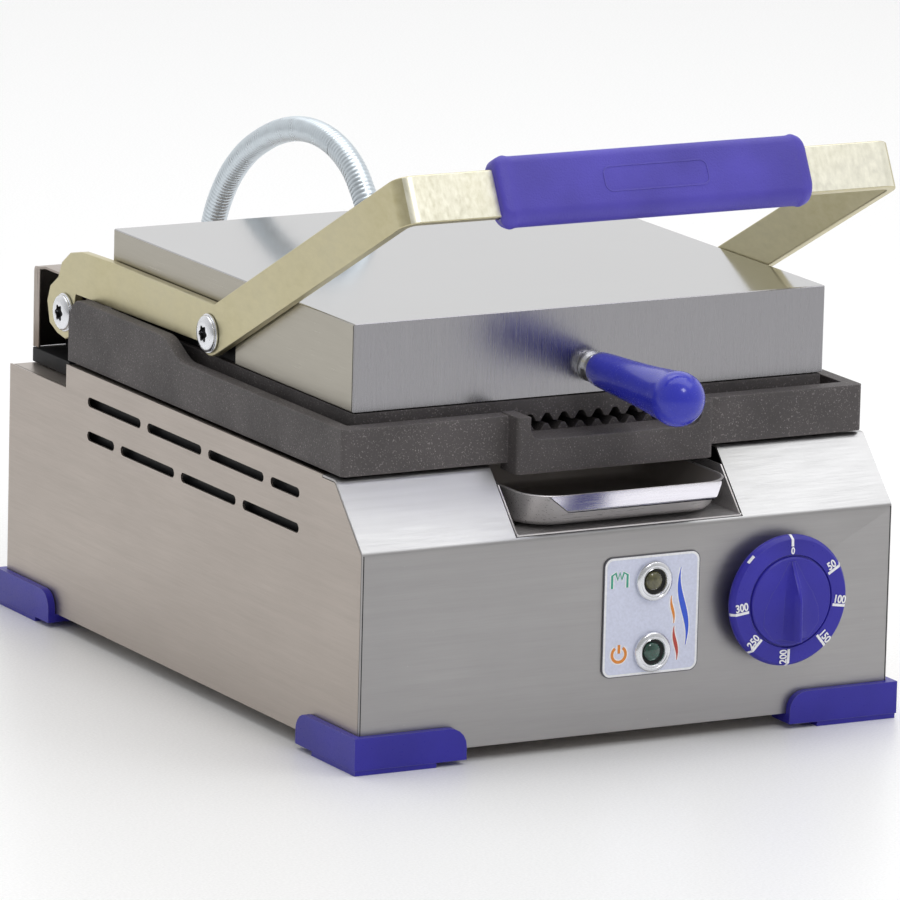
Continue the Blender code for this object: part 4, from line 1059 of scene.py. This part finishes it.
# (y, z) of the loop from the rear gland to the lid's
CONDUIT_SIDE = ((0.4075, 0.106), (0.422, 0.106), (0.437, 0.1085), (0.452, 0.1165), (0.4635, 0.130),
                (0.469, 0.148), (0.4685, 0.168), (0.462, 0.1885), (0.4475, 0.2095), (0.4285, 0.226),
                (0.408, 0.2375), (0.3865, 0.246), (0.364, 0.251), (0.342, 0.2518), (0.321, 0.248),
                (0.3035, 0.2398), (0.2915, 0.2285), (0.286, 0.2205), (0.2846, 0.2147))
CONDUIT_MEETING = (0.321, 0.248)
CONDUIT_RADIUS = 0.0064
COIL_PITCH = 0.0024
COIL_STEPS = 6
COIL_SIDES = 28
COIL_RELIEF = 0.0005


def conduit():
    """Wound steel hose, as two lengths that meet in front of the hinge."""
    route = smooth_route([at(CONDUIT_X, y, z) for y, z in CONDUIT_SIDE], 8)
    route = even_route(route, COIL_PITCH / COIL_STEPS)
    side = Vector((1, 0, 0))
    rings = []
    for i, point in enumerate(route):
        tangent = (route[min(i + 1, len(route) - 1)] - route[max(i - 1, 0)]).normalized()
        up = tangent.cross(side)
        ring = []
        for k in range(COIL_SIDES):
            angle = 2 * math.pi * k / COIL_SIDES
            turn = i / COIL_STEPS - k / COIL_SIDES
            bulge = abs(math.sin(math.pi * turn)) ** 0.6
            radius = CONDUIT_RADIUS + COIL_RELIEF * bulge
            ring.append(point + side * (radius * math.cos(angle)) + up * (radius * math.sin(angle)))
        rings.append(ring)
    place = at(CONDUIT_X, *CONDUIT_MEETING)
    meeting = min(range(len(route)), key=lambda i: (route[i] - place).length)
    for name, part, bodies, ends in (
            ("conduit_rear", rings[:meeting + 1], ("base", "yoke"),
             (at(0, 0.450, 0.130), at(0, 0.354, 0.274))),
            ("conduit_front", rings[meeting:], ("yoke", "lid"),
             (at(0, 0.321, 0.248), at(0, 0.288, 0.222)))):
        bm = bmesh.new()
        skin(bm, part)
        piece = piece_from(name, bm, "conduit_zinc", None,
                           ("conduit",) if name == "conduit_rear" else (), 70)
        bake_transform(piece)


# ---------------------------------------- drip tray

TRAY_LOW, TRAY_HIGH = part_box("drip_tray")
TRAY_FRONT = -0.004
LIP_SECTIONS = 12
LIP_SHEET = 0.0009


def drip_tray():
    """A pressed pan with soft inner corners, a turned rim and a folded pull lip."""
    half, back = TRAY_HIGH.x, TRAY_HIGH.y - HOUSING.y
    rim, floor = TRAY_HIGH.z - HOUSING.z, TRAY_LOW.z - HOUSING.z

    def outline(inset, slope, corner):
        return rounded_rectangle((-half + inset, TRAY_FRONT + inset + slope),
                                 (half - inset, back - inset), (corner, corner, 0.008, 0.008))

    # inset, extra slope at the front, front corner radius and height: up the outside, down inside
    levels = ((0.0070, 0.0100, 0.016, floor), (0.0040, 0.0080, 0.018, floor + 0.0010),
              (0.0025, 0.0065, 0.019, floor + 0.0035), (0.0004, 0.0006, 0.020, rim - 0.0012),
              (0.0, 0.0, 0.020, rim - 0.0004), (0.0004, 0.0, 0.020, rim), (0.0012, 0.0, 0.019, rim),
              (0.0015, 0.0001, 0.019, rim - 0.0006), (0.0036, 0.0066, 0.018, floor + 0.0044),
              (0.0052, 0.0082, 0.017, floor + 0.0020), (0.0080, 0.0105, 0.015, floor + 0.0011))
    bm = bmesh.new()
    skin(bm, [[at(x, y, z) for x, y in outline(inset, slope, corner)]
              for inset, slope, corner, z in levels])
    pan = piece_from("tray_pan", bm, "tray_steel", "tray", ("drip_tray",), 50)
    # painted shade on the pan's inside faces below the rim
    pan.data.materials.append(MATERIALS["tray_inside"])
    middle = at(0, (TRAY_FRONT + back) / 2, 0)
    for face in pan.data.polygons:
        outward = (face.center - middle) * Vector((1, 1, 0))
        inside = face.normal.z > 0.9 or face.normal.dot(outward) < 0
        if inside and face.center.z < TRAY_HIGH.z - 0.0008:
            face.material_index = 1

    bm = bmesh.new()
    rows = ((-0.0028, rim - 0.0002, 0.0500), (-0.0044, rim, 0.0500),
            (-0.0058, rim - 0.0012, 0.0490), (-0.0100, rim - 0.0056, 0.0445),
            (-0.0106, rim - 0.0064, 0.0436), (-0.0100, rim - 0.0070, 0.0432))
    rings = []
    for i in range(LIP_SECTIONS + 1):
        share = -1 + 2 * i / LIP_SECTIONS
        ring = [at(share * wide, y, z) for y, z, wide in rows]
        ring += [at(share * (wide - 0.0004), y + LIP_SHEET, z - LIP_SHEET)
                 for y, z, wide in reversed(rows)]
        rings.append(ring)
    skin(bm, rings)
    # the lip gets a darker steel: painted shade
    piece_from("tray_lip", bm, "lip_steel", "tray", (), 40)


# ---------------------------------------- small details

def seams():
    """Dark shut lines beside the front panel's upright edges and the lid's front corners."""
    bm = bmesh.new()
    low, high = at(0, 0, 0.0005).z, at(0, 0, 0.1048).z
    for side in (-1, 1):
        inner, outer = (HOUSING.x + side * (HALF_WIDTH - inset) for inset in (0.0009, 0.0004))
        outline = [(inner, low), (outer, low), (outer, high), (inner, high)]
        plate_on_front(bm, outline, -0.0004, 0.00005)
    piece_from("front_seams", bm, "black_steel", "base")

    lid_low, lid_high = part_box("lid_cover")
    bm = bmesh.new()
    for side in (-1, 1):
        outer, inner = side * (lid_high.x + 0.00006), side * (lid_high.x - 0.0004)
        skin(bm, [[Vector((x, lid_low.y + y, z)) for x, y in
                   ((inner, 0.0007), (outer, 0.0007), (outer, 0.0012), (inner, 0.0012))]
                  for z in (lid_low.z + 0.0004, lid_high.z - 0.0008)])
    piece_from("lid_seams", bm, "black_steel", "lid")


# ---------------------------------------- build

bpy.context.scene.view_settings.view_transform = "Standard"
make_camera()
make_world()
make_floor(printed("floor_paint", (0.92, 0.92, 0.92)))
softbox("overhead", (0.3, 0.6, 3.2), (0, 0.2, 0), 3.0, 42)
softbox("shoulder_light", (1.15, -0.85, 2.1), (0, -0.1, 0.1), 1.1, 6)
softbox("front_light", (0.2, -2.5, 2.5), (0, 0, 0.1), 0.7, 16)

sheet_metal()
knob_disc()
knob_pointer()
dial_scale()
label()
lamps()
fasteners()
grip()
peg()
conduit()
drip_tray()
seams()

FINISH_OF_SLOT = {"fastener_zinc": "bright_zinc", "bright_steel": "tray_steel"}
for node_name, cad_node in frame["nodes"].items():
    if not cad_node.hide_render:
        repaint(node_name, FINISH_OF_SLOT.get(SLOTS[node_name], SLOTS[node_name]))
